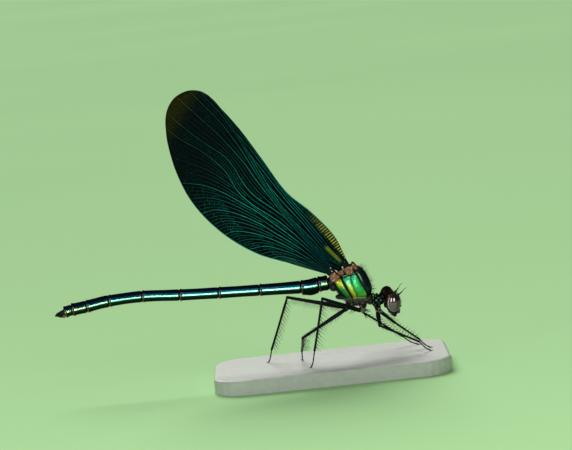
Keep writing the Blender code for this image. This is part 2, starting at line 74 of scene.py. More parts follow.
# The display base, whose place in the frame gives the animal's origin.
BASE_CENTRE_X = 2.75
BASE_LOW, BASE_HIGH = (np.array(corner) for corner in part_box("stand_base"))
ORIGIN = np.array(((BASE_LOW[0] + BASE_HIGH[0]) / 2 - BASE_CENTRE_X * MM, 0.0, BASE_HIGH[2]))

# Abdomen: each segment's length, radius and rise in degrees.
ABDOMEN_START = (3.40, 0.0, 10.42)
SEGMENTS = (
    (1.35, 0.97, 4.0),
    (2.35, 0.90, 3.0),
    (5.55, 0.73, -1.8),
    (5.50, 0.72, -2.2),
    (5.20, 0.72, -2.8),
    (5.00, 0.72, -3.8),
    (4.50, 0.73, 1.9),
    (3.05, 0.77, 7.9),
    (2.00, 0.78, 7.0),
    (1.05, 0.70, 12.0),
)
ABDOMEN_SIDES = 64
ABDOMEN_SAMPLES = 900
# Rings close together at each segment's ends, by their distance from the front and from the rear end.
FRONT_ROWS = (0.0, 0.03, 0.07, 0.11, 0.16, 0.24)
REAR_ROWS = (0.42, 0.34, 0.26, 0.19, 0.13, 0.08, 0.04, 0.01)
ABDOMEN_UPPER, ABDOMEN_LOWER, ABDOMEN_ACROSS = 1.13, 0.87, 0.97

# Synthorax levels from the underside up: front and rear place as x and z, and half width.
THORAX_LEVELS = (
    ((8.30, 7.25), (5.85, 7.72), 0.55),
    ((8.60, 7.80), (5.25, 8.05), 1.05),
    ((8.98, 8.45), (4.74, 8.60), 1.30),
    ((9.06, 9.20), (4.34, 9.20), 1.42),
    ((8.85, 10.10), (4.04, 9.85), 1.42),
    ((8.52, 11.00), (3.86, 10.45), 1.28),
    ((8.10, 11.75), (3.82, 10.92), 0.98),
    ((7.55, 12.30), (3.98, 11.25), 0.60),
)
THORAX_SQUARENESS = 0.8
# Edges between the side plates of the synthorax: the share from front to rear, at four heights.
PLATE_HEIGHTS = (0.22, 0.42, 0.60, 0.80)
SHOULDER_SEAM = (0.08, 0.17, 0.20, 0.22)
MIDDLE_SEAM = (0.47, 0.49, 0.465, 0.425)
REAR_SEAM = (0.66, 0.675, 0.68, 0.69)
REAR_EDGE = (0.86, 0.90, 0.93, 0.96)

PROTHORAX_CENTRE = (9.51, 0.0, 7.38)
PROTHORAX_RADIUS = 0.90

HEAD_CENTRE = (11.40, 0.0, 7.30)
HEAD_TURN = Euler((math.radians(14), 0.0, math.radians(16)))
EYE_CENTRE = (0.05, 1.50, 0.05)
EYE_RADII = (0.93, 0.87, 1.28)
ANTENNA_ROOT = (1.02, 0.62, 0.72)
ANTENNA_REACH = (1.10, 0.30, 1.00)
OCELLI = ((0.78, 0.0, 0.66), (0.48, 0.34, 0.90), (0.48, -0.34, 0.90))

# Legs: hip, knee, ankle and toe of each, with the coxa above the hip.
LEGS = {
    "fore_right": ((9.55, -1.60, 5.70), (9.55, -4.30, 4.50), (14.70, -2.00, 1.45), (16.10, -1.50, 0.45)),
    "fore_left": ((10.00, 1.60, 5.55), (11.85, 3.80, 3.55), (14.90, 1.60, 1.22), (16.20, 1.30, 0.45)),
    "middle_right": ((7.20, -1.40, 6.40), (2.36, -4.30, 8.90), (0.60, -5.20, 2.15), (-0.05, -5.40, 0.45)),
    "middle_left": ((7.60, 1.45, 6.25), (7.75, 6.00, 5.12), (12.80, 5.40, 1.30), (14.80, 5.00, 0.45)),
    "hind_right": ((5.35, -1.40, 6.75), (-0.75, -5.00, 4.05), (-1.05, 0.40, 1.45), (-1.10, 2.10, 0.45)),
    "hind_left": ((5.50, 1.40, 6.62), (-2.25, 2.60, 8.65), (-5.10, 2.95, 1.70), (-5.66, 3.00, 0.45)),
}
COXAE = {"fore": (9.62, 1.12, 6.22), "middle": (7.65, 0.80, 6.74), "hind": (6.00, 0.78, 7.12)}

# Wings: root as x and z, angle of the span, distance of the membrane from the middle plane, and veins.
# Each vein is a list of places: out along the span, and in front of the line from root to tip.
WINGS = {
    "hind": {
        "root": (3.95, 12.08),
        "angle": 127.1,
        "aside": (1.24, 1.12),
        "veins": (
            (
                (0.30, 0.45), (4.0, 0.66), (8.4, 0.95), (12.5, 1.35), (18.8, 2.70), (24.0, 3.75),
                (26.6, 4.02), (28.0, 3.95),
            ),
            (
                (0.32, 0.36), (4.2, 0.56), (8.4, 0.80), (12.6, 1.12), (16.4, 1.86), (21.0, 2.96),
                (25.0, 3.55), (27.6, 3.56), (29.1, 3.60),
            ),
            (
                (0.32, 0.28), (4.3, 0.46), (8.5, 0.66), (12.6, 0.96), (16.2, 1.55), (20.5, 2.35),
                (24.5, 2.75), (28.0, 2.60), (30.1, 2.50),
            ),
            (
                (0.32, 0.20), (4.5, 0.33), (8.9, 0.46), (12.7, 0.72), (15.9, 1.02), (18.4, 1.36),
                (22.9, 1.47), (26.5, 1.20), (30.82, 0.80),
            ),
            (
                (0.30, 0.10), (4.5, 0.20), (9.0, 0.33), (11.0, 0.08), (13.6, -0.50), (15.2, -0.64),
                (17.0, -0.45), (19.2, 0.02), (21.2, 0.02), (24.7, -0.81), (28.0, -1.35),
                (30.35, -1.55),
            ),
            (
                (0.28, 0.00), (4.8, -0.06), (9.2, -0.52), (12.0, -1.20), (14.0, -1.66),
                (16.3, -1.80), (19.4, -1.22), (23.0, -1.60), (26.5, -2.75), (29.0, -3.25),
            ),
            (
                (0.26, -0.12), (5.0, -0.45), (9.6, -1.22), (12.4, -1.80), (15.3, -2.65),
                (17.7, -3.45), (20.0, -4.60), (22.2, -6.45),
            ),
            (
                (0.24, -0.25), (5.0, -0.98), (9.1, -2.08), (11.4, -2.75), (14.3, -4.05),
                (16.4, -5.55), (17.4, -7.32),
            ),
            ((0.22, -0.38), (4.6, -1.45), (8.1, -2.70), (10.7, -4.10), (12.6, -5.70), (13.2, -7.05)),
            ((0.18, -0.50), (3.8, -1.60), (6.3, -2.75), (8.4, -4.15), (9.6, -6.02)),
            ((0.14, -0.62), (2.8, -1.62), (4.6, -2.60), (6.0, -3.60), (6.7, -4.66)),
            ((0.10, -0.75), (2.0, -1.90), (3.6, -2.85), (5.2, -3.75)),
        ),
        "margin": (
            (28.0, 3.95), (29.1, 3.60), (29.9, 3.00), (30.5, 2.20),
            (30.85, 1.20), (30.93, 0.20), (30.65, -0.90),
            (30.0, -1.95), (28.9, -3.00), (27.0, -4.35), (23.8, -5.95), (20.0, -7.1), (16.2, -7.37),
            (12.3, -6.86), (8.4, -5.60), (5.2, -3.75),
        ),
    },
    "fore": {
        "root": (5.88, 12.60),
        "angle": 128.9,
        "aside": (0.40, 0.36),
        "veins": (
            (
                (0.05, 0.50), (3.8, 1.66), (8.3, 1.70), (12.5, 1.30), (17.8, 2.10), (22.5, 2.78),
                (26.5, 2.98), (27.9, 2.66),
            ),
            (
                (0.10, 0.22), (1.9, 0.34), (4.0, 0.62), (7.1, 0.90), (12.3, 1.10), (16.3, 1.70),
                (21.4, 2.45), (25.5, 2.66), (28.8, 2.20),
            ),
            (
                (0.12, 0.06), (3.5, 0.16), (8.0, 0.57), (12.2, 0.85), (16.2, 1.45), (21.4, 2.10),
                (25.5, 2.10), (29.3, 1.50),
            ),
            (
                (0.14, -0.10), (3.0, -0.22), (5.5, 0.02), (8.5, 0.30), (12.1, 0.55), (16.5, 1.10),
                (21.0, 1.50), (25.0, 1.10), (30.1, 0.30),
            ),
            (
                (0.14, -0.20), (2.7, -0.52), (5.0, -0.36), (8.0, -0.10), (12.0, 0.05), (16.6, 0.40),
                (20.5, 0.45), (24.5, -0.25), (30.1, -0.80),
            ),
            (
                (0.13, -0.28), (3.0, -0.78), (6.0, -0.72), (9.0, -0.75), (12.5, -1.15),
                (15.5, -1.20), (18.5, -0.75), (21.5, -0.90), (25.0, -1.80), (29.3, -2.25),
            ),
            (
                (0.12, -0.34), (3.1, -0.95), (6.5, -1.25), (10.0, -1.80), (13.5, -2.30),
                (17.0, -2.30), (20.5, -2.50), (24.5, -3.60), (26.9, -3.95),
            ),
            (
                (0.12, -0.40), (3.1, -1.10), (7.0, -1.95), (11.0, -2.90), (14.5, -3.80),
                (17.5, -4.90), (19.4, -6.05),
            ),
            ((0.11, -0.46), (3.0, -1.25), (6.5, -2.35), (9.5, -3.45), (12.0, -4.60), (13.3, -5.75)),
            ((0.10, -0.53), (2.6, -1.35), (5.0, -2.35), (7.2, -3.40), (8.6, -4.55)),
            ((0.08, -0.92), (2.3, -1.66), (4.2, -2.50), (5.8, -3.25), (6.6, -3.68)),
            ((0.05, -1.30), (1.1, -1.62), (2.2, -1.95), (3.8, -2.48), (5.4, -3.05)),
        ),
        "margin": (
            (27.9, 2.66), (28.9, 2.15), (30.2, -0.10), (29.9, -1.3),
            (29.0, -2.60), (26.9, -3.95), (23.8, -5.40),
            (20.2, -6.2), (16.5, -6.30), (12.5, -5.65), (9.0, -4.70), (5.4, -3.05),
        ),
    },
}
MEMBRANE_HALF = 0.018
PLEAT = 0.07
VEIN_WIDTH_ROOT, VEIN_WIDTH_TIP = 0.062, 0.036
VEIN_ROOM = 0.13
CROSS_WIDTH = 0.024
CROSS_SPACING = 0.33
CELL_WIDTH = 0.60
LADDER_SPACING, LADDER_WIDTH = 0.36, 0.17
MARGIN_WIDTH = 0.085
VEIN_SAMPLES, EDGE_SAMPLES, MARGIN_SAMPLES = 150, 900, 220
HINGES = {"fore": (6.22, 1.36, 11.86), "hind": (4.22, 1.28, 11.36)}

# The photograph's view: the camera looks along +Y, tilted down and rolled a little.
VIEW_DOWN = math.radians(6)
VIEW_ROLL = math.radians(6)
VIEW_AIM = (-1.40, 0.0, 18.68)
VIEW_WIDTH = 76.27
LENS = 180.0
SENSOR = 36.0
CLIP = (0.01, 50.0)


def lay(points):
    """Places in the animal's frame, in millimetres, as places in the part's frame, in metres."""
    return np.asarray(points, float) * MM + ORIGIN


def unit(vectors):
    vectors = np.asarray(vectors, float)
    return vectors / np.maximum(np.linalg.norm(vectors, axis=-1, keepdims=True), 1e-12)


def ease(low, high, values):
    """0 below low, 1 above high and smooth between."""
    t = np.clip((np.asarray(values, float) - low) / (high - low), 0.0, 1.0)
    return t * t * (3 - 2 * t)


def hump(centre, width, values):
    return np.exp(-(((np.asarray(values, float) - centre) / width) ** 2))


def mix(first, second, share):
    """Blends colours by a share for each point."""
    share = np.asarray(share, float)[..., None]
    return np.asarray(first, float) * (1 - share) + np.asarray(second, float) * share


def layered(colour, *layers):
    """The colour under layers of other colours, each with its share."""
    for tint, share in layers:
        colour = mix(colour, tint, share)
    return colour


def smooth_line(points, count):
    """Places of equal spacing along a smooth curve through the points."""
    points = np.asarray(points, float)
    knots = np.vstack((2 * points[0] - points[1], points, 2 * points[-1] - points[-2]))
    t = np.linspace(0, 1, 24, endpoint=False)[:, None]
    runs = []
    for a, b, c, d in zip(knots, knots[1:], knots[2:], knots[3:]):
        square = 2 * a - 5 * b + 4 * c - d
        cube = 3 * b - a - 3 * c + d
        runs.append(0.5 * (2 * b + (c - a) * t + square * t**2 + cube * t**3))
    fine = np.vstack((*runs, points[-1:]))
    return even_line(fine, count)


def reach_along(line):
    """Distance from the start of a line to each of its places."""
    return np.concatenate(([0.0], np.cumsum(np.linalg.norm(np.diff(line, axis=0), axis=1))))


def place_on(line, reach, at):
    """Places on a line at given distances from its start."""
    return np.stack([np.interp(at, reach, column) for column in line.T], -1)


def even_line(fine, count):
    """Places of equal spacing along a line of short straight runs."""
    reach = reach_along(fine)
    return place_on(fine, reach, np.linspace(0, reach[-1], count))


def circle(sides):
    """Angles of equal spacing once round."""
    return np.linspace(0, 2 * math.pi, sides, endpoint=False)


def sphere(down, turn):
    """Rings of places on a ball of radius 1."""
    return np.stack((
        np.sin(down)[:, None] * np.cos(turn),
        np.sin(down)[:, None] * np.sin(turn),
        np.cos(down)[:, None] * np.ones(len(turn)),
    ), -1)


def place_item(name, data):
    """Puts mesh, camera or light data in the scene as an object."""
    item = bpy.data.objects.new(name, data)
    bpy.context.scene.collection.objects.link(item)
    return item


class Bag:
    """Collects the points and faces of one piece, with a tint and a metal share for each point."""

    def __init__(self):
        self.points, self.quads, self.tris, self.tints, self.metals, self.places = [], [], [], [], [], []
        self.count = 0

    def add(self, points, quads=(), tris=(), tint=(0.02, 0.02, 0.02), metal=0.0, places=None):
        points = np.asarray(points, float).reshape(-1, 3)
        size = len(points)
        self.points.append(points)
        if len(quads):
            self.quads.append(np.asarray(quads, int).reshape(-1, 4) + self.count)
        if len(tris):
            self.tris.append(np.asarray(tris, int).reshape(-1, 3) + self.count)
        self.tints.append(np.broadcast_to(np.asarray(tint, float), (size, 3)))
        self.metals.append(np.broadcast_to(np.asarray(metal, float), (size,)))
        if places is not None:
            self.places.append(places)
        self.count += size


def make_piece(name, bag, material, replaced=()):
    """Makes the collected shape one object that rides on the part."""
    points = lay(np.vstack(bag.points))
    quads = np.vstack(bag.quads) if bag.quads else np.zeros((0, 4), int)
    tris = np.vstack(bag.tris) if bag.tris else np.zeros((0, 3), int)
    corners = np.concatenate((quads.ravel(), tris.ravel()))
    sizes = np.concatenate((np.full(len(quads), 4), np.full(len(tris), 3)))
    starts = np.concatenate(([0], np.cumsum(sizes)[:-1]))
    mesh = bpy.data.meshes.new(name)
    mesh.vertices.add(len(points))
    mesh.vertices.foreach_set("co", points.ravel())
    mesh.loops.add(len(corners))
    mesh.loops.foreach_set("vertex_index", corners.astype(np.int32))
    mesh.polygons.add(len(sizes))
    mesh.polygons.foreach_set("loop_start", starts.astype(np.int32))
    mesh.update(calc_edges=True)
    tint = mesh.attributes.new("tint", "FLOAT_COLOR", "POINT")
    colours = np.ones((len(points), 4))
    colours[:, :3] = np.vstack(bag.tints)
    tint.data.foreach_set("color", colours.ravel())
    metal = mesh.attributes.new("metal", "FLOAT", "POINT")
    metal.data.foreach_set("value", np.concatenate(bag.metals))
    if bag.places:
        layer = mesh.uv_layers.new(name="OFBake")
        layer.data.foreach_set("uv", np.vstack(bag.places)[corners].ravel())
    mesh.shade_smooth()
    mesh.validate()
    item = place_item(name, mesh)
    mesh.materials.append(material)
    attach(item, "root")
    if replaced:
        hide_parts(*replaced)
    PIECES[name] = item


def sheet_faces(rows, columns, closed=True):
    """Quads of a grid of rows by columns, whose columns may close to a ring."""
    i = np.arange(rows - 1)[:, None]
    j = np.arange(columns if closed else columns - 1)[None, :]
    after = (j + 1) % columns
    low, high = i * columns, (i + 1) * columns
    return np.stack((low + j, low + after, high + after, high + j), -1).reshape(-1, 4)


def capped(rings):
    """Quads and triangles that close a stack of rings, with the middle of each end as a new point."""
    rows, columns = rings.shape[:2]
    points = np.vstack((rings.reshape(-1, 3), rings[0].mean(0), rings[-1].mean(0)))
    j = np.arange(columns)
    after = (j + 1) % columns
    first, last = rows * columns, rows * columns + 1
    low = np.stack((np.full(columns, first), after, j), -1)
    base = (rows - 1) * columns
    high = np.stack((np.full(columns, last), base + j, base + after), -1)
    return points, sheet_faces(rows, columns), np.vstack((low, high))


def add_skin(bag, rings, tint, ends, metal, inside_out=False):
    """A closed stack of rings, with colours for the middles of its two ends."""
    points, quads, tris = capped(rings)
    if inside_out:
        quads, tris = quads[:, ::-1], tris[:, ::-1]
    tints = np.vstack((np.asarray(tint, float).reshape(-1, 3), *ends))
    bag.add(points, quads, tris, tint=tints, metal=metal)


def tube_rings(path, radii, up, sides):
    """Rings round a path, whose radii may differ from one side to the next."""
    path = np.asarray(path, float)
    ahead = unit(np.gradient(path, axis=0))
    up = np.broadcast_to(np.asarray(up, float), path.shape)
    across = unit(np.cross(ahead, up))
    lift = np.cross(across, ahead)
    turn = circle(sides)
    radii = np.asarray(radii, float)
    if radii.ndim == 1:
        radii = radii[:, None]
    offsets = across[:, None] * np.sin(turn)[None, :, None] + lift[:, None] * np.cos(turn)[None, :, None]
    return path[:, None] + offsets * np.broadcast_to(radii, (len(path), sides))[..., None]


def add_tube(bag, path, radii, up=(0, 0, 1), sides=10, **looks):
    points, quads, tris = capped(tube_rings(path, radii, up, sides))
    bag.add(points, quads, tris, **looks)
    return points


def add_ball(bag, centre, radii, turn=None, sides=16, rows=10, **looks):
    """A closed ellipsoid, turned by a matrix."""
    down = np.linspace(0, math.pi, rows + 2)[1:-1]
    points, quads, tris = capped(sphere(down, circle(sides)))
    points[-2] = (0, 0, 1)
    points[-1] = (0, 0, -1)
    points = points * np.asarray(radii, float)
    if turn is not None:
        points = points @ np.asarray(turn).T
    bag.add(points + np.asarray(centre, float), quads[:, ::-1], tris[:, ::-1], **looks)


def add_hairs(bag, roots, ways, lengths, radius, places, sag=(0, 0, 0), rings=4, patch=0.003, **looks):
    """Thin bent cones, one from each root, each with its own small patch of the coat's map."""
    roots, ways = np.asarray(roots, float), unit(ways)
    count = len(roots)
    if not count:
        return
    lengths = np.broadcast_to(np.asarray(lengths, float), (count,))
    side = unit(np.cross(ways, (0.31, 0.87, 0.38)))
    other = np.cross(side, ways)
    share = np.linspace(0, 1, rings + 1)[:-1]
    turn = circle(3)
    along = share[None, :, None] * lengths[:, None, None]
    line = roots[:, None] + ways[:, None] * along + np.asarray(sag, float) * along**2
    thick = radius * (1 - share * 0.85)
    round_ = side[:, None] * np.cos(turn)[None, :, None] + other[:, None] * np.sin(turn)[None, :, None]
    rings_ = line[:, :, None] + round_[:, None] * thick[None, :, None, None]
    tips = roots + ways * lengths[:, None] + np.asarray(sag, float) * lengths[:, None] ** 2
    size = rings * 3 + 1
    points = np.concatenate((rings_.reshape(count, rings * 3, 3), tips[:, None]), axis=1).reshape(-1, 3)
    quads = sheet_faces(rings, 3)
    top = (rings - 1) * 3 + np.arange(3)
    tris = np.stack((top, (rings - 1) * 3 + (np.arange(3) + 1) % 3, np.full(3, rings * 3)), -1)
    tris = np.vstack((tris, (2, 1, 0)))
    start = np.arange(count)[:, None, None] * size
    local = np.zeros((size, 2))
    local[:-1, 0] = np.tile(turn / (2 * math.pi), rings)
    local[:-1, 1] = np.repeat(share, 3)
    local[-1] = (0.33, 1.0)
    spots = (np.asarray(places, float)[:, None] + (local - 0.5)[None] * patch).reshape(-1, 2)
    quads = (quads[None] + start).reshape(-1, 4)
    tris = (tris[None] + start).reshape(-1, 3)
    bag.add(points, quads, tris, places=spots, **looks)


class Nodes:
    """Adds nodes to one material and links them."""

    def __init__(self, name):
        self.material = bpy.data.materials.new(name)
        self.material.use_nodes = True
        self.tree = self.material.node_tree
        self.shader = self.tree.nodes["Principled BSDF"]

    def add(self, kind, **settings):
        node = self.tree.nodes.new("ShaderNode" + kind)
        for key, value in settings.items():
            setattr(node, key, value)
        return node

    def join(self, source, target):
        self.tree.links.new(source, target)

    def fill(self, node, **values):
        """Sets inputs of a node by name, with _ for each space."""
        for key, value in values.items():
            node.inputs[key.replace("_", " ")].default_value = value

    def put(self, **values):
        self.fill(self.shader, **values)

    def pattern(self, kind, **values):
        """Outputs of a texture node that lies in the piece's own frame, with its inputs set."""
        node = self.add(kind)
        self.fill(node, **values)
        self.join(self.add("TexCoord").outputs["Object"], node.inputs["Vector"])
        return node.outputs

    def noise(self, scale, detail=3.0, roughness=0.5):
        return self.pattern("TexNoise", Scale=scale, Detail=detail, Roughness=roughness)["Fac"]

    def cells(self, scale):
        return self.pattern("TexVoronoi", Scale=scale)["Distance"]

    def span(self, value, low, high, from_low=0.0, from_high=1.0):
        ranged = self.add("MapRange")
        self.fill(ranged, From_Min=from_low, From_Max=from_high, To_Min=low, To_Max=high)
        self.join(value, ranged.inputs["Value"])
        return ranged.outputs["Result"]

    def attribute(self, name, output):
        return self.add("Attribute", attribute_name=name).outputs[output]

    def plain(self, colour):
        base = self.add("RGB")
        base.outputs[0].default_value = colour
        return base.outputs[0]

    def scaled(self, colour, value):
        """The colour times a value."""
        times = self.add("VectorMath", operation="SCALE")
        self.join(colour, times.inputs[0])
        self.join(value, times.inputs["Scale"])
        return times.outputs["Vector"]

    def bump(self, height, strength, distance, below=None):
        bump = self.add("Bump")
        self.fill(bump, Strength=strength, Distance=distance)
        self.join(height, bump.inputs["Height"])
        if below is not None:
            self.join(below, bump.inputs["Normal"])
        return bump.outputs["Normal"]


def tinted(name, roughness, scale, depth, grain, coat=(0.0, 0.1), pits=0.0, specular=0.5, rim=None):
    """A cuticle whose colour and metal share come with the mesh, with fine grain, dents and wear of gloss.

    Roughness and grain are spans, scale is in spots to the metre, depth and pits are in metres, coat is
    a weight and a roughness, and rim is the colour that a metal takes near its edge.
    """
    nodes = Nodes(name)
    tint = nodes.attribute("tint", "Color")
    grained = nodes.scaled(tint, nodes.span(nodes.noise(scale, 4.0, 0.6), *grain, 0.3, 0.7))
    nodes.join(grained, nodes.shader.inputs["Base Color"])
    nodes.join(nodes.attribute("metal", "Fac"), nodes.shader.inputs["Metallic"])
    wear = nodes.span(nodes.noise(scale * 0.45, 3.0), *roughness, 0.3, 0.7)
    nodes.join(wear, nodes.shader.inputs["Roughness"])
    normal = nodes.bump(nodes.noise(scale * 1.3, 4.0, 0.6), 0.6, depth)
    if pits:
        normal = nodes.bump(nodes.cells(scale * 0.8), 0.5, pits, normal)
    nodes.join(normal, nodes.shader.inputs["Normal"])
    nodes.put(Coat_Weight=coat[0], Coat_Roughness=coat[1], Specular_IOR_Level=specular)
    if rim is not None:
        nodes.put(Specular_Tint=(*rim, 1))
    return nodes.material


STAND_COLOUR = (0.52, 0.55, 0.50, 1)
FLOOR_COLOUR = (0.47, 0.79, 0.38, 1)


def stand_material():
    nodes = Nodes("stand_matte")
    speck = nodes.span(nodes.noise(900, 5.0, 0.7), 0.86, 1.08, 0.25, 0.75)
    nodes.join(nodes.scaled(nodes.plain(STAND_COLOUR), speck), nodes.shader.inputs["Base Color"])
    nodes.join(nodes.span(nodes.noise(300), 0.45, 0.62), nodes.shader.inputs["Roughness"])
    nodes.join(nodes.bump(nodes.noise(2600, 4.0, 0.6), 0.35, 0.00004), nodes.shader.inputs["Normal"])
    return nodes.material


def floor_material():
    nodes = Nodes("studio_floor")
    tone = nodes.span(nodes.noise(3.0, 2.0), 0.97, 1.03, 0.3, 0.7)
    nodes.join(nodes.scaled(nodes.plain(FLOOR_COLOUR), tone), nodes.shader.inputs["Base Color"])
    nodes.put(Roughness=0.9, Specular_IOR_Level=0.1)
    return nodes.material


# Looks of each cuticle. tinted() says what the values mean.
CUTICLES = {
    "metal": dict(
        name="metallic_cuticle", roughness=(0.16, 0.26), scale=5200, depth=0.000012, grain=(0.8, 1.2),
        coat=(0.12, 0.08), rim=(0.1, 0.16, 0.2),
    ),
    "plates": dict(
        name="punctured_cuticle", roughness=(0.26, 0.42), scale=6500, depth=0.00002, grain=(0.62, 1.38),
        coat=(0.20, 0.15), pits=0.00002, rim=(0.2, 0.3, 0.2),
    ),
    "black": dict(
        name="black_cuticle", roughness=(0.30, 0.46), scale=5000, depth=0.00001, grain=(0.7, 1.3),
        specular=0.14,
    ),
    "brown": dict(
        name="brown_sclerite", roughness=(0.32, 0.50), scale=4200, depth=0.00003, grain=(0.6, 1.35),
        coat=(0.1, 0.3),
    ),
    "vein": dict(
        name="wing_vein", roughness=(0.30, 0.45), scale=3000, depth=0.000004, grain=(0.6, 1.4), specular=0.1,
        rim=(0.02, 0.3, 0.25),
    ),
    "membrane": dict(
        name="wing_membrane", roughness=(0.40, 0.50), scale=2400, depth=0.000004, grain=(0.6, 1.4),
        specular=0.02,
    ),
    "eye": dict(
        name="eye_lens", roughness=(0.09, 0.13), scale=9000, depth=0.0000006, grain=(0.6, 1.4),
        pits=0.0000008,
    ),
    "hair": dict(
        name="fine_hair", roughness=(0.5, 0.6), scale=3000, depth=0.000001, grain=(0.75, 1.25), specular=0.04,
    ),
}


def make_materials():
    materials = {key: tinted(**looks) for key, looks in CUTICLES.items()}
    materials["stand"] = stand_material()
    return materials


# Abdomen.

def abdomen_joints():
    """Places of the joints between the segments, front to rear."""
    place = np.array(ABDOMEN_START)
    joints = [place]
    for length, _, rise in SEGMENTS:
        lift = math.radians(rise)
        place = place + np.array((-length * math.cos(lift), 0, -length * math.sin(lift)))
        joints.append(place)
    return np.array(joints)


# Colours by the angle below the back: partly the cuticle's own colour, partly painted reflection and shade,
# darker on the back and black on the underside.
TOP_BLUE = (0.008, 0.022, 0.075)
SIDE_TEAL = (0.006, 0.17, 0.20)
FLANK_GREEN = (0.03, 0.46, 0.36)
LOW_GREEN = (0.004, 0.05, 0.03)
UNDER_BLACK = (0.004, 0.010, 0.008)
JOINT_BLACK = (0.006, 0.006, 0.008)
JOINT_BROWN = (0.22, 0.11, 0.08)
# Painted highlight: a thin pale line along each flank.
PAINTED_HIGHLIGHT_LINE = (0.60, 0.95, 0.74)
TAIL_GOLD = (0.40, 0.55, 0.06)
ORANGE = (0.42, 0.11, 0.03)
POUCH_DARK, POUCH_BROWN = (0.02, 0.012, 0.01), (0.10, 0.05, 0.025)
TAIL_BROWN, TAIL_PALE = (0.16, 0.06, 0.02), (0.45, 0.20, 0.10)


def abdomen_tint(below, reach, length, number):
    """Colour by the angle below the back, the distance along one segment and the segment's number."""
    flank = mix(FLANK_GREEN, TAIL_GOLD, ease(7.4, 9.0, number) * np.ones_like(below))
    # The navy back and black underside are partly painted shade and reflection.
    colour = layered(
        TOP_BLUE,
        (SIDE_TEAL, ease(0.95, 1.30, below)),
        (flank, ease(1.22, 1.5, below)),
        (LOW_GREEN, ease(1.58, 1.70, below)),
        (UNDER_BLACK, ease(1.75, 2.1, below)),
        # Painted highlight line along each flank.
        (PAINTED_HIGHLIGHT_LINE, hump(1.50, 0.06, below) * 0.9),
    )
    # Painted glint: a gold patch on the flank of the first segment.
    if number == 1:
        colour = mix(colour, TAIL_GOLD, hump(1.35, 0.22, below) * hump(0.55, 0.25, reach))
    ends = np.maximum(hump(0.0, 0.07, reach), hump(length, 0.06, reach))
    ring = hump(length - 0.15, 0.05, reach)
    return layered(
        colour,
        (JOINT_BLACK, np.clip(ends * 1.3, 0, 1)),
        (JOINT_BROWN, np.clip(ring * 1.3, 0, 1) * ease(0.6, 1.2, below)),
        (JOINT_BLACK, hump(length - 0.24, 0.045, reach) * 0.7),
    )


def segment_radius(t, length):
    """Radius factor along one segment: tucked in at the front, waisted, and flared at the rear rim."""
    reach = t * length
    front = 0.90 + 0.14 * ease(0.0, 0.16, reach)
    waist = -0.025 * np.sin(math.pi * np.clip(t, 0, 1)) ** 2
    rear = 0.085 * ease(0.42, 0.14, length - reach)
    tuck = -0.22 * ease(0.10, 0.0, length - reach)
    return front + waist + rear + tuck


def make_abdomen(materials):
    joints = abdomen_joints()
    path = smooth_line(joints, ABDOMEN_SAMPLES)
    reach = reach_along(path)
    starts = np.concatenate(([0.0], np.cumsum([length for length, _, _ in SEGMENTS])))
    starts *= reach[-1] / starts[-1]
    rings, tints = [], []
    turn = circle(ABDOMEN_SIDES)
    below = np.abs((turn + math.pi) % (2 * math.pi) - math.pi)
    for number, (length, radius, _) in enumerate(SEGMENTS, 1):
        before = SEGMENTS[max(number - 2, 0)][1]
        ends = np.array(FRONT_ROWS) / length
        tail = 1 - np.array(REAR_ROWS) / length
        middle = np.linspace(ends[-1], tail[0], max(5, round(length * 7)))[1:-1]
        for t in np.concatenate((ends, middle, tail)):
            at = starts[number - 1] + (starts[number] - starts[number - 1]) * t
            centre = place_on(path, reach, at)
            ahead = unit(place_on(path, reach, at + 0.05) - centre)
            if t > 0.99:
                ahead = unit(centre - place_on(path, reach, at - 0.05))
            after = SEGMENTS[min(number, 9)][1]
            lead, trail = radius, radius
            if number < 4:
                lead, trail = (before + radius) / 2, (radius + after) / 2
            size = (lead + (trail - lead) * t) * segment_radius(t, length)
            rings.append(abdomen_ring(centre, ahead, size, turn, below, number, t))
            tints.append(abdomen_tint(below, t * length, length, number))
    bag = Bag()
    add_skin(bag, np.array(rings), np.array(tints), (UNDER_BLACK, UNDER_BLACK), 0.92, inside_out=True)
    add_tail_plates(bag, joints)
    nodes = [f"abdomen_s{number}" for number in range(1, 11)]
    make_piece("abdomen_skin", bag, materials["metal"], nodes)


def abdomen_ring(centre, ahead, size, turn, below, number, t):
    """One ring of the abdomen: taller above than below, with a fold low on each side and a belly ridge."""
    across = np.array((0.0, 1.0, 0.0))
    lift = np.cross(ahead, across)
    lift = lift if lift[2] > 0 else -lift
    tall = np.where(np.cos(turn) > 0, ABDOMEN_UPPER, ABDOMEN_LOWER)
    up = np.cos(turn) * tall - (ABDOMEN_UPPER - 1)
    out = np.sin(turn) * ABDOMEN_ACROSS
    fold = -0.10 * hump(2.45, 0.14, below) + 0.04 * hump(2.2, 0.12, below)
    ridge = 0.05 * hump(math.pi, 0.25, below)
    bulge = 0.0
    if number == 2:
        bulge = 0.42 * hump(0.5, 0.45, t) * ease(2.0, 3.0, below)
    factor = 1 + fold + ridge + bulge
    return centre + size * (up * factor)[:, None] * lift + size * (out * factor)[:, None] * across


def add_tail_plates(bag, joints):
    """Plates of the genital pouch below the second segment and the pale plates below the last ones."""
    for x, z, radii, tint in (
        (joints[2][0] + 0.55, joints[2][2] - 0.98, (0.42, 0.20, 0.20), POUCH_DARK),
        (joints[2][0] + 1.15, joints[2][2] - 1.02, (0.30, 0.24, 0.16), POUCH_BROWN),
        (joints[8][0] - 0.02, joints[8][2] - 0.62, (0.26, 0.30, 0.12), ORANGE),
        (joints[9][0] + 0.10, joints[9][2] - 0.66, (0.30, 0.34, 0.14), TAIL_BROWN),
    ):
        add_ball(bag, (x, 0, z), radii, tint=tint, metal=0.1)
    for sign in SIDES.values():
        place = (joints[10][0] + 0.10, sign * 0.26, joints[10][2] - 0.46)
        add_ball(bag, place, (0.34, 0.22, 0.17), tint=TAIL_PALE, metal=0.1)


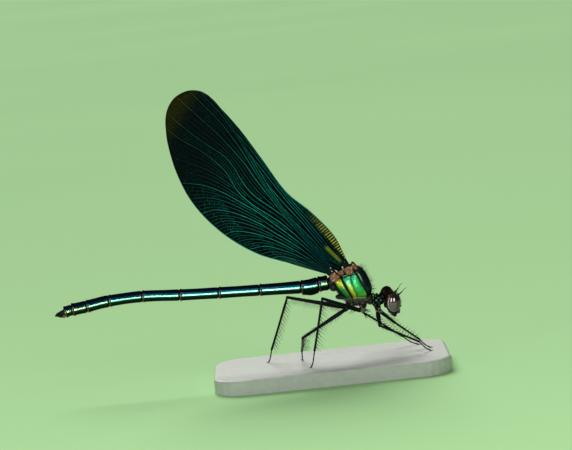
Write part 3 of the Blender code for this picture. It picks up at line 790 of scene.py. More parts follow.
# Claspers: colours from the root to the tip of the upper and of the lower pair.
CERCUS_TEAL, CERCUS_BLACK = (0.006, 0.03, 0.035), (0.008, 0.008, 0.010)
PRONG_BROWN, PRONG_BLACK = (0.30, 0.12, 0.06), (0.012, 0.010, 0.010)
PRONG_ROWS, PRONG_SIDES = 30, 14


def add_prong(bag, path, radii, shade, metal):
    """A tapering prong with a colour for each place along it."""
    tint = np.repeat(shade, PRONG_SIDES, axis=0)
    add_skin(bag, tube_rings(path, radii, UP, PRONG_SIDES), tint, (tint[:1], tint[-1:]), metal)


def make_claspers(materials):
    """The hooked upper pair with a toothed outer edge, and the lower pair, each in pieces of its own."""
    x, _, z = abdomen_joints()[-1]
    t = np.linspace(0, 1, PRONG_ROWS)
    for side, sign in SIDES.items():
        bow = sign * (0.40 + 0.20 * np.sin(math.pi * t) - 0.22 * t**3)
        path = np.stack((x + 0.10 - 1.42 * t, bow, z + 0.16 - 0.56 * t), 1)
        radii = 0.27 * (1 - 0.45 * t) * (1 - 0.62 * ease(0.82, 1.0, t)) + 0.03 * hump(0.72, 0.10, t)
        bag = Bag()
        add_prong(bag, path, radii, mix(CERCUS_TEAL, CERCUS_BLACK, ease(0.1, 0.5, t)), 0.35)
        for at in np.linspace(0.45, 0.86, 6):
            i = round(at * (PRONG_ROWS - 1))
            tooth = np.stack((path[i], path[i] + (-0.04, sign * (radii[i] + 0.07), -0.03)))
            add_tube(bag, even_line(tooth, 4), np.array((0.055, 0.05, 0.035, 0.012)), UP, 6)
        make_piece(f"cercus_hook_{side}", bag, materials["black"], [f"cercus_{side}"])
        path = np.stack((x + 0.05 - 1.00 * t, sign * (0.42 - 0.05 * t), z - 0.52 + 0.10 * t), 1)
        radii = 0.24 * (1 - 0.45 * t) * (1 - 0.6 * ease(0.85, 1.0, t))
        bag = Bag()
        add_prong(bag, path, radii, mix(PRONG_BROWN, PRONG_BLACK, ease(0.15, 0.4, t)), 0.1)
        make_piece(f"paraproct_prong_{side}", bag, materials["black"], [f"paraproct_{side}"])


# Thorax.

GREEN = (0.045, 0.50, 0.13)
MINT = (0.05, 0.58, 0.26)
GOLD = (0.62, 0.70, 0.06)
YELLOW_GREEN = (0.28, 0.62, 0.07)
STRIP_TEAL = (0.008, 0.045, 0.065)
SEAM_DARK = (0.018, 0.006, 0.008)
BELLY_GREY = (0.055, 0.045, 0.045)
BELLY_BLACK = (0.022, 0.020, 0.022)
HIP_GREY = (0.05, 0.042, 0.040)
KEEL_BLUE = (0.02, 0.03, 0.09)
STREAK_GREEN = (0.35, 0.75, 0.18)
REAR_TEAL = (0.006, 0.05, 0.035)
TOP_BLACK = (0.01, 0.01, 0.012)
THORAX_ROWS, THORAX_COLUMNS = 150, 240


def thorax_grid(rows, columns):
    """Points of the synthorax, with each point's height share, front-to-rear share and outward way."""
    levels = np.array([(*front, *rear, width) for front, rear, width in THORAX_LEVELS])
    known = np.linspace(0, 1, len(levels))
    height = np.linspace(0, 1, rows)
    table = smooth_columns(known, levels, height)
    front, rear, width = table[:, 0:2], table[:, 2:4], table[:, 4]
    turn = circle(columns)
    along = np.sign(np.cos(turn)) * np.abs(np.cos(turn)) ** THORAX_SQUARENESS
    across = np.sign(np.sin(turn)) * np.abs(np.sin(turn)) ** THORAX_SQUARENESS
    middle, reach = (front + rear) / 2, (front - rear) / 2
    flat = middle[:, None] + reach[:, None] * along[None, :, None]
    points = np.stack((flat[..., 0], width[:, None] * across, flat[..., 1]), -1)
    back = np.broadcast_to((1 - along) / 2, points.shape[:2])
    high = np.broadcast_to(height[:, None], points.shape[:2])
    return points, high, back


def smooth_columns(known, table, wanted):
    """Each column of the table as a smooth curve at the wanted shares."""
    out = []
    for column in table.T:
        slope = np.gradient(column, known)
        i = np.clip(np.searchsorted(known, wanted) - 1, 0, len(known) - 2)
        step = known[i + 1] - known[i]
        t = (wanted - known[i]) / step
        out.append(
            column[i] * (1 + 2 * t) * (1 - t) ** 2
            + slope[i] * step * t * (1 - t) ** 2
            + column[i + 1] * t**2 * (3 - 2 * t)
            + slope[i + 1] * step * t**2 * (t - 1)
        )
    return np.stack(out, 1)


def grid_normals(points):
    """Outward ways of a grid whose columns run round."""
    up = np.gradient(points, axis=0)
    round_ = (np.roll(points, -1, axis=1) - np.roll(points, 1, axis=1)) / 2
    return unit(np.cross(round_, up))


def plate_edges(high):
    """Places of the four seams at each height: shoulder, middle, rear and rear edge."""
    seams = (SHOULDER_SEAM, MIDDLE_SEAM, REAR_SEAM, REAR_EDGE)
    return [np.interp(high, PLATE_HEIGHTS, seam) for seam in seams]


def thorax_tint(high, back):
    """Colours of the plates: teal strip, two green plates and a gold and green one, between dark seams."""
    shoulder, middle, rear, edge = plate_edges(high)
    streak = hump(shoulder - 0.035, 0.016, back) * ease(0.55, 0.68, high) * ease(0.88, 0.80, high)
    plate = mix(GREEN, MINT, ease(0.5, 0.85, high))
    plate = mix(plate, YELLOW_GREEN, ease(0.42, 0.20, high) * 0.75)
    second = mix(MINT, GOLD, ease(0.66, 0.34, high - (back - middle) * 0.6))
    third = mix(GREEN, GOLD, ease(0.46, 0.62, high))
    third = mix(third, REAR_TEAL, ease(0.0, 0.07, back - (edge - 0.085)))
    seams = (
        hump(shoulder + 0.012, 0.030, back),
        hump(middle, 0.015, back),
        hump(rear, 0.042, back) * 1.2,
        hump(edge + 0.02, 0.03, back),
    )
    return layered(
        STRIP_TEAL,
        (KEEL_BLUE, hump(0.07, 0.05, back) * ease(0.3, 0.6, high) * 0.8),
        (STREAK_GREEN, streak),
        (plate, ease(shoulder + 0.03, shoulder + 0.055, back)),
        (second, ease(middle - 0.002, middle + 0.006, back)),
        (third, ease(rear + 0.035, rear + 0.055, back)),
        *((SEAM_DARK, np.clip(seam * 1.25, 0, 1)) for seam in seams),
        (TOP_BLACK, ease(0.80, 0.86, high)),
        (BELLY_GREY, ease(0.20, 0.13, high)),
        (TOP_BLACK, ease(edge + 0.02, 1.0, back) * 0.8),
    )


def thorax_relief(high, back, across):
    """How far each point stands in or out: seams, swollen plates, the keel in front and the wing ridges."""
    shoulder, middle, rear, edge = plate_edges(high)
    sides = ease(0.10, 0.22, high)
    relief = np.zeros(high.shape)
    for seam, width, depth in (
        (shoulder + 0.012, 0.022, 0.075),
        (middle, 0.014, 0.060),
        (rear, 0.030, 0.11),
        (edge + 0.02, 0.025, 0.06),
    ):
        relief -= depth * hump(seam, width, back) * sides
    for front, last, swell in ((shoulder, middle, 0.05), (middle, rear, 0.04), (rear, edge, 0.05)):
        relief += swell * np.sin(math.pi * np.clip((back - front) / (last - front), 0, 1)) * sides
    keel = hump(0, 0.10, across) * ease(0.12, 0.02, back)
    relief += 0.10 * keel * ease(0.25, 0.45, high) * ease(0.97, 0.88, high)
    relief -= 0.07 * hump(0.20, 0.025, high) * ease(0.04, 0.12, back)
    relief -= 0.05 * hump(0.82, 0.02, high)
    relief += 0.07 * hump(0.865, 0.022, high) * ease(0.30, 0.10, back)
    return relief


def make_thorax(materials):
    points, high, back = thorax_grid(THORAX_ROWS, THORAX_COLUMNS)
    normals = grid_normals(points)
    relief = thorax_relief(high, back, points[..., 1])
    points = points + normals * relief[..., None]
    colour = thorax_tint(high, back)
    metal = 0.95 * ease(0.13, 0.22, high) * ease(0.88, 0.82, high)
    bag = Bag()
    add_skin(bag, points, colour, (BELLY_GREY, BELLY_GREY), np.concatenate((metal.ravel(), (0, 0))))
    add_belly(bag)
    make_piece("thorax_skin", bag, materials["plates"], ["synthorax"])
    return points, normals, high, back


def add_belly(bag):
    """Plates between the legs and where the abdomen begins."""
    for centre, radii in (
        ((7.0, 0.0, 7.35), (1.55, 0.85, 0.50)),
        ((5.0, 0.0, 8.35), (0.85, 0.75, 0.42)),
        ((8.75, 0.0, 7.35), (0.55, 0.72, 0.52)),
        ((4.05, 0.0, 9.75), (0.62, 0.78, 0.62)),
        ((3.78, 0.0, 10.36), (0.72, 0.80, 0.78)),
    ):
        add_ball(bag, centre, radii, sides=32, rows=20, tint=BELLY_BLACK, metal=0.25)
    for sign in SIDES.values():
        for centre, radii in (
            ((6.10, sign * 0.72, 7.55), (0.50, 0.42, 0.40)),
            ((7.70, sign * 0.74, 7.25), (0.50, 0.42, 0.42)),
        ):
            add_ball(bag, centre, radii, sides=24, rows=16, tint=HIP_GREY, metal=0.2)


LOBE_BLACK, LOBE_UNDER = (0.008, 0.010, 0.014), (0.02, 0.012, 0.012)
# The green and gold spots on the black prothorax and collar are painted glints.
LOBE_GLINT_GREEN, LOBE_GLINT_GOLD = (0.01, 0.42, 0.30), (0.85, 0.90, 0.08)
COLLAR_BLACK = (0.008, 0.012, 0.016)
COLLAR_GLINT_GREEN, COLLAR_GLINT_GOLD = (0.01, 0.30, 0.22), (0.5, 0.6, 0.05)
NECK_GREY = (0.03, 0.025, 0.025)


def make_prothorax(materials):
    """The small plate behind the head with its lobes, and the neck."""
    bag = Bag()
    x, _, z = PROTHORAX_CENTRE
    t = np.linspace(0, 1, 60)
    lobes = 0.60 + 0.22 * hump(0.12, 0.10, t) + 0.42 * hump(0.48, 0.22, t) + 0.30 * hump(0.86, 0.09, t)
    lobes = np.minimum(lobes, 1.0) * (1 - 0.35 * ease(0.94, 1.0, t)) * (1 - 0.3 * ease(0.06, 0.0, t))
    path = np.stack((x + 0.76 - 1.34 * t, 0 * t, z - 0.06 + 0.10 * t), 1)
    sides = 72
    turn = circle(sides)
    wide = 1 + 0.18 * np.abs(np.sin(turn)) ** 2 + 0.05 * np.cos(3 * turn)
    radii = PROTHORAX_RADIUS * lobes[:, None] * wide[None]
    rings = tube_rings(path, radii, (0, 0, 1), sides)
    # Painted glints: green and gold spots laid out by a wavy pattern.
    glint = np.sin(rings[..., 0] * 9.0 + 1.0) * np.sin(rings[..., 2] * 8.0 + rings[..., 1] * 5.0)
    colour = layered(
        LOBE_BLACK,
        (LOBE_GLINT_GREEN, ease(0.25, 0.55, glint)),
        (LOBE_GLINT_GOLD, ease(0.68, 0.90, glint)),
        (LOBE_UNDER, ease(-0.1, -0.5, rings[..., 2] - z)),
    )
    add_skin(bag, rings, colour, (SEAM_DARK, SEAM_DARK), 0.8)
    for centre, radii in (((10.22, 0.0, 7.52), (0.42, 0.66, 0.80)), ((9.15, 0.0, 7.98), (0.34, 0.62, 0.42))):
        collar = Bag()
        add_ball(collar, centre, radii, sides=28, rows=20)
        spots = collar.points[0]
        # Painted glints on the collar, laid out by a wavy pattern.
        shine = np.sin(spots[:, 0] * 9 + spots[:, 2] * 7) * np.sin(spots[:, 2] * 6 - spots[:, 1] * 5)
        glow = (COLLAR_GLINT_GREEN, ease(0.1, 0.5, shine)), (COLLAR_GLINT_GOLD, ease(0.7, 0.9, shine))
        tint = layered(COLLAR_BLACK, *glow)
        bag.add(spots, collar.quads[0], collar.tris[0], tint=tint, metal=0.8)
    neck = np.array(((x + 0.30, 0, z - 0.15), (x + 0.75, -0.02, z - 0.22), (x + 1.25, -0.07, z - 0.26)))
    folds = 0.30 + 0.03 * np.sin(np.linspace(0, 28, 24))
    add_tube(bag, smooth_line(neck, 24), folds, UP, 24, tint=NECK_GREY, metal=0.1)
    make_piece("prothorax_skin", bag, materials["plates"], ["prothorax", "neck"])


# Each brown plate: centre, radii and lean in degrees.
WING_PLATES = {
    "hind": (
        ((4.26, 1.17, 11.16), (0.62, 0.19, 0.62), 40),
        ((5.22, 1.17, 11.66), (0.40, 0.16, 0.36), 25),
    ),
    "fore": (
        ((6.30, 1.16, 11.86), (0.62, 0.21, 0.60), 15),
        ((7.08, 0.96, 12.28), (0.52, 0.18, 0.27), -50),
    ),
}
PLATE_BROWN = (0.27, 0.070, 0.026)
# The pinkish spots on the plates are painted glints.
PLATE_SHINE = (0.66, 0.33, 0.22)
PLATE_BLOTCH = (0.03, 0.012, 0.010)
PLATE_RIM = (0.006, 0.005, 0.006)


def make_hinges(materials):
    """Orange-brown plates that carry the wings, two at each wing, swollen and set in black joints."""
    for pair, shapes in WING_PLATES.items():
        for side, sign in SIDES.items():
            bag = Bag()
            for (x, y, z), radii, lean in shapes:
                add_plate(bag, (x, sign * y, z), radii, lean, sign)
            name = f"wing_plate_{pair}_{side}"
            make_piece(name, bag, materials["brown"], [f"hinge_{pair}_{side}"])


def add_plate(bag, centre, radii, lean, sign):
    """A rounded plate with a dark rim and a hollow in its middle."""
    rows, columns = 26, 48
    down = np.linspace(0, 0.5 * math.pi, rows)
    turn = circle(columns)
    square = 1 / (np.abs(np.cos(turn)) ** 3 + np.abs(np.sin(turn)) ** 3) ** (1 / 3)
    square *= 1 + 0.07 * np.sin(3 * turn + centre[0]) + 0.04 * np.sin(5 * turn + centre[2])
    out = np.sin(down)[:, None] * square
    dome = np.cos(down) ** 0.7 - 0.22 * hump(0, 0.45, down)
    local = np.stack((
        out * np.cos(turn) * radii[0],
        np.broadcast_to(dome[:, None] * radii[1], out.shape) * sign,
        out * np.sin(turn) * radii[2],
    ), -1)
    lean = math.radians(lean)
    level = np.array(((math.cos(lean), 0, -math.sin(lean)), (0, 1, 0), (math.sin(lean), 0, math.cos(lean))))
    points = local @ level.T + np.array(centre)
    rim_share = np.broadcast_to(ease(1.12, 1.36, down)[:, None], out.shape)
    x, z = points[..., 0], points[..., 2]
    # spot lays out the painted glints and the plates' own dark blotches.
    spot = np.sin(x * 7 + z * 3 + np.sin(z * 9)) * np.sin(z * 6 - x * 4 + np.sin(x * 11))
    inside = ease(1.25, 0.95, down)[:, None]
    colour = layered(
        PLATE_BROWN,
        (PLATE_SHINE, ease(0.35, 0.95, spot) * inside),
        (PLATE_BLOTCH, ease(-0.5, -0.9, spot) * inside * 0.7),
        (PLATE_RIM, rim_share),
    )
    under = points[-1:] - np.array((0, sign * 0.25, 0))
    rings = np.concatenate((points, under))
    colour = np.concatenate((colour, colour[-1:]))
    add_skin(bag, rings, colour, (colour[0, :1], colour[-1, :1]), 0.0, inside_out=sign > 0)


# Head.

HEAD = np.array(HEAD_TURN.to_matrix())
HEAD_VOXEL, MOUTH_VOXEL = 0.035, 0.03
EYE_ROWS, EYE_COLUMNS = 70, 110
HEAD_BLACK = (0.012, 0.013, 0.016)
HEAD_BROWN = (0.022, 0.012, 0.008)
CROWN_ORANGE = (0.34, 0.095, 0.025)
CHEEK_ORANGE = (0.30, 0.085, 0.025)
SNOUT_TEAL = (0.01, 0.10, 0.09)
OCELLUS_BROWN = (0.16, 0.08, 0.04)
LIP_STEEL = (0.10, 0.16, 0.17)
JAW_BLACK, JAW_BROWN = (0.012, 0.012, 0.014), (0.05, 0.03, 0.02)
EYE_BLACK = (0.004, 0.003, 0.004)
EYE_BROWN = (0.030, 0.012, 0.008)
# Grey patch low on the eye's outer face: partly the eye's own paler colour, partly painted reflection of the
# ground.
EYE_PALE_AND_REFLECTION = (0.036, 0.040, 0.031)
EYE_CRESCENT = (0.16, 0.16, 0.13)
EYE_RIM = (0.22, 0.060, 0.018)


def in_head(points):
    """Places in the head's own frame as places in the animal's."""
    return np.asarray(points, float) @ HEAD.T + np.array(HEAD_CENTRE)


def fused_points(shapes, voxel):
    """One smooth skin round balls and tubes, as points and faces in millimetres.

    A ball is its centre and its three radii, and a tube is a list of places and a radius at each.
    """
    bag = Bag()
    for where, radii in shapes:
        if np.ndim(where) == 1:
            add_ball(bag, where, radii, sides=32, rows=20)
        else:
            thick = np.interp(np.linspace(0, 1, 16), np.linspace(0, 1, len(radii)), radii)
            add_tube(bag, smooth_line(where, 16), thick, (0.1, 0.2, 1), 20)
    mesh = bpy.data.meshes.new("fused")
    faces = [*np.vstack(bag.quads).tolist(), *np.vstack(bag.tris).tolist()]
    mesh.from_pydata(np.vstack(bag.points).tolist(), [], faces)
    host = place_item("fused", mesh)
    remesh = host.modifiers.new("skin", "REMESH")
    remesh.mode = "VOXEL"
    remesh.voxel_size = voxel
    relax = host.modifiers.new("relax", "SMOOTH")
    relax.factor = 0.5
    relax.iterations = 6
    graph = bpy.context.evaluated_depsgraph_get()
    skin = bpy.data.meshes.new_from_object(host.evaluated_get(graph))
    points = np.zeros(len(skin.vertices) * 3)
    skin.vertices.foreach_get("co", points)
    quads = [list(face.vertices) for face in skin.polygons if len(face.vertices) == 4]
    tris = [list(face.vertices) for face in skin.polygons if len(face.vertices) == 3]
    bpy.data.objects.remove(host, do_unlink=True)
    bpy.data.meshes.remove(mesh)
    bpy.data.meshes.remove(skin)
    return points.reshape(-1, 3), quads, tris


def make_head(materials):
    """The capsule with brow, crown, cheeks and the snout, one skin between the eyes."""
    shapes = [
        ((0.10, 0.0, 0.02), (0.66, 1.30, 0.92)),
        ((0.42, 0.0, 0.36), (0.46, 0.72, 0.52)),
        ((0.12, 0.0, 0.60), (0.52, 1.15, 0.52)),
        ((-0.30, 0.0, 0.28), (0.36, 1.42, 0.62)),
        ((-0.40, 0.62, 0.62), (0.20, 0.52, 0.30)),
        ((-0.40, -0.62, 0.62), (0.20, 0.52, 0.30)),
        ((0.78, 0.0, -0.30), (0.42, 0.62, 0.34)),
        ((1.10, 0.0, -0.72), (0.36, 0.72, 0.26)),
        ((1.18, 0.0, -1.02), (0.34, 0.74, 0.20)),
        ((0.50, 0.0, -0.80), (0.60, 0.95, 0.42)),
        ((0.10, 0.0, -0.95), (0.50, 0.85, 0.40)),
        ((-0.46, 0.0, -0.10), (0.26, 0.60, 0.48)),
    ]
    socket = (ANTENNA_ROOT[0] - 0.20, ANTENNA_ROOT[1], ANTENNA_ROOT[2] - 0.18)
    paired = (
        ((-0.56, 0.82, -0.05), (0.30, 0.40, 0.78)),
        ((-0.30, 0.62, -1.00), (0.38, 0.42, 0.42)),
        ((0.15, 0.95, -1.10), (0.58, 0.42, 0.40)),
        ((0.76, 0.66, -0.95), (0.36, 0.36, 0.38)),
        (socket, (0.24, 0.22, 0.20)),
        ((-0.52, 0.95, 0.86), (0.14, 0.26, 0.20)),
    )
    for sign in SIDES.values():
        shapes += [((x, sign * y, z), radii) for (x, y, z), radii in paired]
    points, quads, tris = fused_points(shapes, HEAD_VOXEL)
    x, y, z = points.T
    crown = ease(0.20, 0.52, z) * hump(-0.42, 0.20, x) * ease(0.45, 1.0, np.abs(y))
    behind_eye = hump(1.12, 0.16, np.abs(y)) * hump(-0.40, 0.16, x) * ease(-0.9, 0.5, z)
    colour = layered(
        HEAD_BLACK,
        (HEAD_BROWN, ease(0.35, 0.75, z)),
        (CROWN_ORANGE, crown),
        (CHEEK_ORANGE, behind_eye),
        (SNOUT_TEAL, hump(0.95, 0.22, x) * hump(-0.20, 0.16, z) * 0.7),
    )
    bag = Bag()
    bag.add(in_head(points), quads, tris, tint=colour, metal=0.35)
    for place in OCELLI:
        add_ball(bag, in_head(place), (0.12, 0.12, 0.12), tint=OCELLUS_BROWN, metal=0.0)
    make_piece("head_capsule", bag, materials["black"], ["head", "clypeus"])


def make_mouth(materials):
    """Upper lip with its notch, the jaws beside it and the lower lip with its palps."""
    lip = Bag()
    points, quads, tris = fused_points([
        ((1.08, 0.0, -1.52), (0.26, 0.70, 0.24)),
        ((1.06, 0.26, -1.80), (0.24, 0.40, 0.26)),
        ((1.06, -0.26, -1.80), (0.24, 0.40, 0.26)),
    ], MOUTH_VOXEL)
    lip.add(in_head(points), quads, tris, tint=LIP_STEEL, metal=0.6)
    make_piece("upper_lip", lip, materials["metal"], ["labrum"])
    jaws = Bag()
    shapes = [
        ((0.22, 0.0, -1.62), (0.52, 0.62, 0.46)),
        ((0.42, 0.0, -2.08), (0.36, 0.46, 0.34)),
    ]
    for sign in SIDES.values():
        shapes.append(((0.62, sign * 0.60, -1.45), (0.36, 0.26, 0.52)))
        shapes.append(((0.52, sign * 0.38, -2.18), (0.26, 0.17, 0.30)))
        hook = ((0.66, sign * 0.62, -1.70), (0.72, sign * 0.46, -2.02), (0.74, sign * 0.20, -2.18))
        shapes.append((hook, (0.17, 0.13, 0.06)))
    points, quads, tris = fused_points(shapes, MOUTH_VOXEL)
    colour = mix(JAW_BLACK, JAW_BROWN, ease(-1.9, -2.4, points[:, 2]))
    jaws.add(in_head(points), quads, tris, tint=colour, metal=0.2)
    make_piece("jaw_set", jaws, materials["black"], ["jaws"])


def make_eyes(materials):
    """Compound eyes: black above, grey-brown below, with a pale rim where they meet the head."""
    for side, sign in SIDES.items():
        local = sphere(np.linspace(0.02, math.pi - 0.02, EYE_ROWS), circle(EYE_COLUMNS))
        inner = np.clip(-local[..., 1] * sign, 0, 1)
        local[..., 1] += sign * 0.42 * inner
        points = local * np.array(EYE_RADII) + np.array(EYE_CENTRE) * np.array((1, sign, 1))
        height = local[..., 2]
        round_ = np.degrees(np.arctan2(local[..., 0], -local[..., 1] * -sign))
        # The grey patch is partly painted reflection of the ground.
        pale = ease(0.28, 0.12, height) * ease(-66, -54, round_) * ease(8, -2, round_)
        crescent = hump(-77, 7, round_) * ease(0.80, 0.55, np.abs(height))
        colour = layered(
            EYE_BLACK,
            (EYE_BROWN, ease(0.38, 0.24, height)),
            (EYE_PALE_AND_REFLECTION, pale),
            (EYE_CRESCENT, crescent),
            (EYE_RIM, hump(-94, 7, round_) * 0.8),
        )
        bag = Bag()
        add_skin(bag, in_head(points), colour, (colour[0, :1], colour[-1, :1]), 0.0, inside_out=True)
        make_piece(f"eye_lens_{side}", bag, materials["eye"], [f"eye_{side}"])


def make_antennae(materials):
    for side, sign in SIDES.items():
        bag = Bag()
        root = np.array(ANTENNA_ROOT) * (1, sign, 1)
        reach = np.array(ANTENNA_REACH) * (1, sign, 1)
        start = root - reach * 0.12
        scape = np.stack((start, root + reach * 0.10))
        barrel = (0.10, 0.13, 0.14, 0.14, 0.14, 0.14, 0.13, 0.09)
        add_tube(bag, in_head(even_line(scape, 8)), barrel, (0, 1, 0), 14)
        pedicel = np.stack((root + reach * 0.08, root + reach * 0.42))
        t = np.linspace(0, 1, 14)
        narrowing = 0.095 - 0.02 * t - 0.05 * ease(0.85, 1, t)
        add_tube(bag, in_head(even_line(pedicel, 14)), narrowing, (0, 1, 0), 14)
        t = np.linspace(0, 1, 26)
        bow = np.stack((0 * t, 0 * t, 0.10 * np.sin(math.pi * t)), 1)
        lash = root + reach * (0.40 + 0.60 * t[:, None]) + bow
        radii = 0.050 * (1 - 0.72 * t) * (1 + 0.10 * np.sin(t * 24))
        add_tube(bag, in_head(lash), radii, (0, 1, 0), 8)
        make_piece(f"antenna_lash_{side}", bag, materials["black"], [f"antenna_{side}"])


# Legs.

LEG_BLACK = (0.003, 0.003, 0.005)
# Painted sheen: the lighter colour along the outer side of each leg piece.
LEG_SHEEN = (0.012, 0.014, 0.024)
FEMUR_RADIUS = 0.25
TIBIA_RADIUS = 0.145
TARSUS_RADIUS = 0.085
BRISTLE_SPACING = 0.44
BRISTLE_RADIUS = 0.042
BRISTLE_SPLAY, BRISTLE_SLANT = math.radians(30), math.radians(62)
FEMUR_BRISTLE, TIBIA_BRISTLE = 1.25, 1.35
SHORT_HAIR, SHORT_HAIR_RADIUS = 0.22, 0.010
SHORT_HAIRS_PER_MM = 14
# Thickness along the femur and the tibia, as shares of their radii.
FEMUR_TAPER = np.array((0.95, 1.22, 1.20, 1.08, 0.95, 0.84, 0.80, 0.74))
TIBIA_TAPER = np.array((0.9, 1.15, 1.0, 0.95, 0.92, 0.95, 1.05))
KNEE_PALE = (0.20, 0.13, 0.11)
CLAW_BROWN = (0.03, 0.018, 0.012)
COXA_BLACK = (0.012, 0.011, 0.013)
# The pale spots on the coxae are painted glints.
COXA_GLINT = (0.42, 0.36, 0.38)
COXA_JOINT = (0.62, 0.27, 0.15)


def leg_frame(start, end, flexor):
    ahead = unit(end - start)
    inward = unit(flexor - ahead * np.dot(flexor, ahead))
    return ahead, inward, np.cross(ahead, inward)


def add_limb(bag, start, end, radii, flexor, sides=18, rows=26):
    """A leg piece, a little flattened, with a faint groove along it."""
    _, inward, _ = leg_frame(start, end, flexor)
    t = np.linspace(0, 1, rows)
    path = start + (end - start) * t[:, None]
    turn = circle(sides)
    radius = np.interp(t, np.linspace(0, 1, len(radii)), radii)
    factor = 1 + 0.10 * np.cos(2 * turn) - 0.05 * np.cos(4 * turn)
    rings = tube_rings(path, radius[:, None] * factor[None], inward, sides)
    # A painted sheen along the outer side of the leg piece.
    shade = np.broadcast_to(ease(0.3, 0.95, np.cos(turn + math.pi)), (rows, sides))
    colour = mix(LEG_BLACK, LEG_SHEEN, shade)
    add_skin(bag, rings, colour, (LEG_BLACK, LEG_BLACK), 0.25)


def bristle_rows(bag, start, end, radius, flexor, length, bare):
    """Two rows of long slanting bristles along the inner side, and short hairs all round."""
    ahead, inward, beside = leg_frame(start, end, flexor)
    reach = np.linalg.norm(end - start)
    count = max(2, int((reach - 2 * bare) / BRISTLE_SPACING))
    for row in (-1, 1):
        at = bare + (np.arange(count) + 0.5 * (row > 0)) * (reach - 2 * bare) / count
        at = at + CHANCE.normal(0, 0.03, count)
        splay = BRISTLE_SPLAY * row
        out = inward * math.cos(splay) + beside * math.sin(splay)
        way = out * math.sin(BRISTLE_SLANT) + ahead * math.cos(BRISTLE_SLANT)
        ways = way + CHANCE.normal(0, 0.05, (count, 3))
        fall = length * (0.75 + 0.25 * np.sin(math.pi * at / reach)) * CHANCE.uniform(0.85, 1.1, count)
        roots = start + ahead * at[:, None] + out * (radius * 0.6)
        places = np.stack((at / reach, np.full(count, 0.5 + 0.1 * row)), 1)
        looks = {"tint": LEG_BLACK, "metal": 0.1}
        add_hairs(bag, roots, ways, fall, BRISTLE_RADIUS, places, sag=ahead * 0.10, rings=5, **looks)
    count = int(reach * SHORT_HAIRS_PER_MM)
    turn = CHANCE.uniform(0, 2 * math.pi, count)
    at = CHANCE.uniform(0.1, reach - 0.1, count)
    out = inward * np.cos(turn)[:, None] + beside * np.sin(turn)[:, None]
    ways = out * 0.75 + ahead * 0.9
    places = np.stack((at / reach, turn / (2 * math.pi)), 1)
    roots = start + ahead * at[:, None] + out * radius * 0.85
    add_hairs(bag, roots, ways, SHORT_HAIR, SHORT_HAIR_RADIUS, places, rings=3, tint=LEG_BLACK)


def make_legs(materials):
    """Each leg is one skin from coxa to claws, with a second piece for its bristles."""
    for leg, corners in LEGS.items():
        rank, side = leg.split("_")
        sign = SIDES[side]
        hip, knee, ankle, toe = (np.array(corner) for corner in corners)
        coxa = np.array(COXAE[rank]) * (1, sign, 1)
        bag, bristles = Bag(), Bag()
        shin = unit(ankle - knee)
        thigh = unit(knee - hip)
        add_coxa(bag, coxa, hip, thigh, 0.44 if rank == "fore" else 0.60)
        add_limb(bag, hip - thigh * 0.10, knee, FEMUR_TAPER * FEMUR_RADIUS, shin)
        add_ball(bag, knee + shin * 0.02, (0.20, 0.20, 0.20), tint=LEG_BLACK, metal=0.25)
        add_ball(bag, knee + shin * 0.22 - thigh * 0.02, (0.10, 0.13, 0.10), tint=KNEE_PALE, metal=0.0)
        add_limb(bag, knee + shin * 0.02, ankle, TIBIA_TAPER * TIBIA_RADIUS, -thigh)
        add_foot(bag, ankle, toe, shin)
        bristle_rows(bristles, hip, knee, FEMUR_RADIUS, shin, FEMUR_BRISTLE, 0.55)
        bristle_rows(bristles, knee, ankle, TIBIA_RADIUS, -thigh, TIBIA_BRISTLE, 0.35)
        nodes = [f"{part}_{leg}" for part in ("coxa", "femur", "tibia", "tarsus")]
        make_piece(f"leg_skin_{leg}", bag, materials["black"], nodes)
        make_piece(f"leg_bristles_{leg}", bristles, materials["hair"])


def add_coxa(bag, coxa, hip, thigh, thick):
    """The hip piece: a stout cone out of the body, a pale joint and the short ring before the femur."""
    corners = (coxa + (0, 0, 0.45), coxa, coxa + (hip - coxa) * 0.62, hip + thigh * 0.15)
    path = smooth_line(np.stack(corners), 26)
    t = np.linspace(0, 1, 26)
    radii = thick - (thick - 0.30) * ease(0, 0.7, t) - 0.05 * hump(0.72, 0.05, t) + 0.02 * hump(0.82, 0.06, t)
    rings = tube_rings(path, radii, (0.3, 0.2, 1), 20)
    # Painted glints: pale spots laid out by a wavy pattern.
    glint = np.sin(rings[..., 0] * 8 + 2) * np.sin(rings[..., 2] * 9 + rings[..., 1] * 6)
    colour = mix(COXA_BLACK, COXA_GLINT, ease(0.66, 0.9, glint))
    colour = mix(colour, COXA_JOINT, np.repeat(hump(0.70, 0.05, t)[:, None], 20, axis=1) * 0.9)
    add_skin(bag, rings, colour, (LEG_BLACK, LEG_BLACK), 0.15)


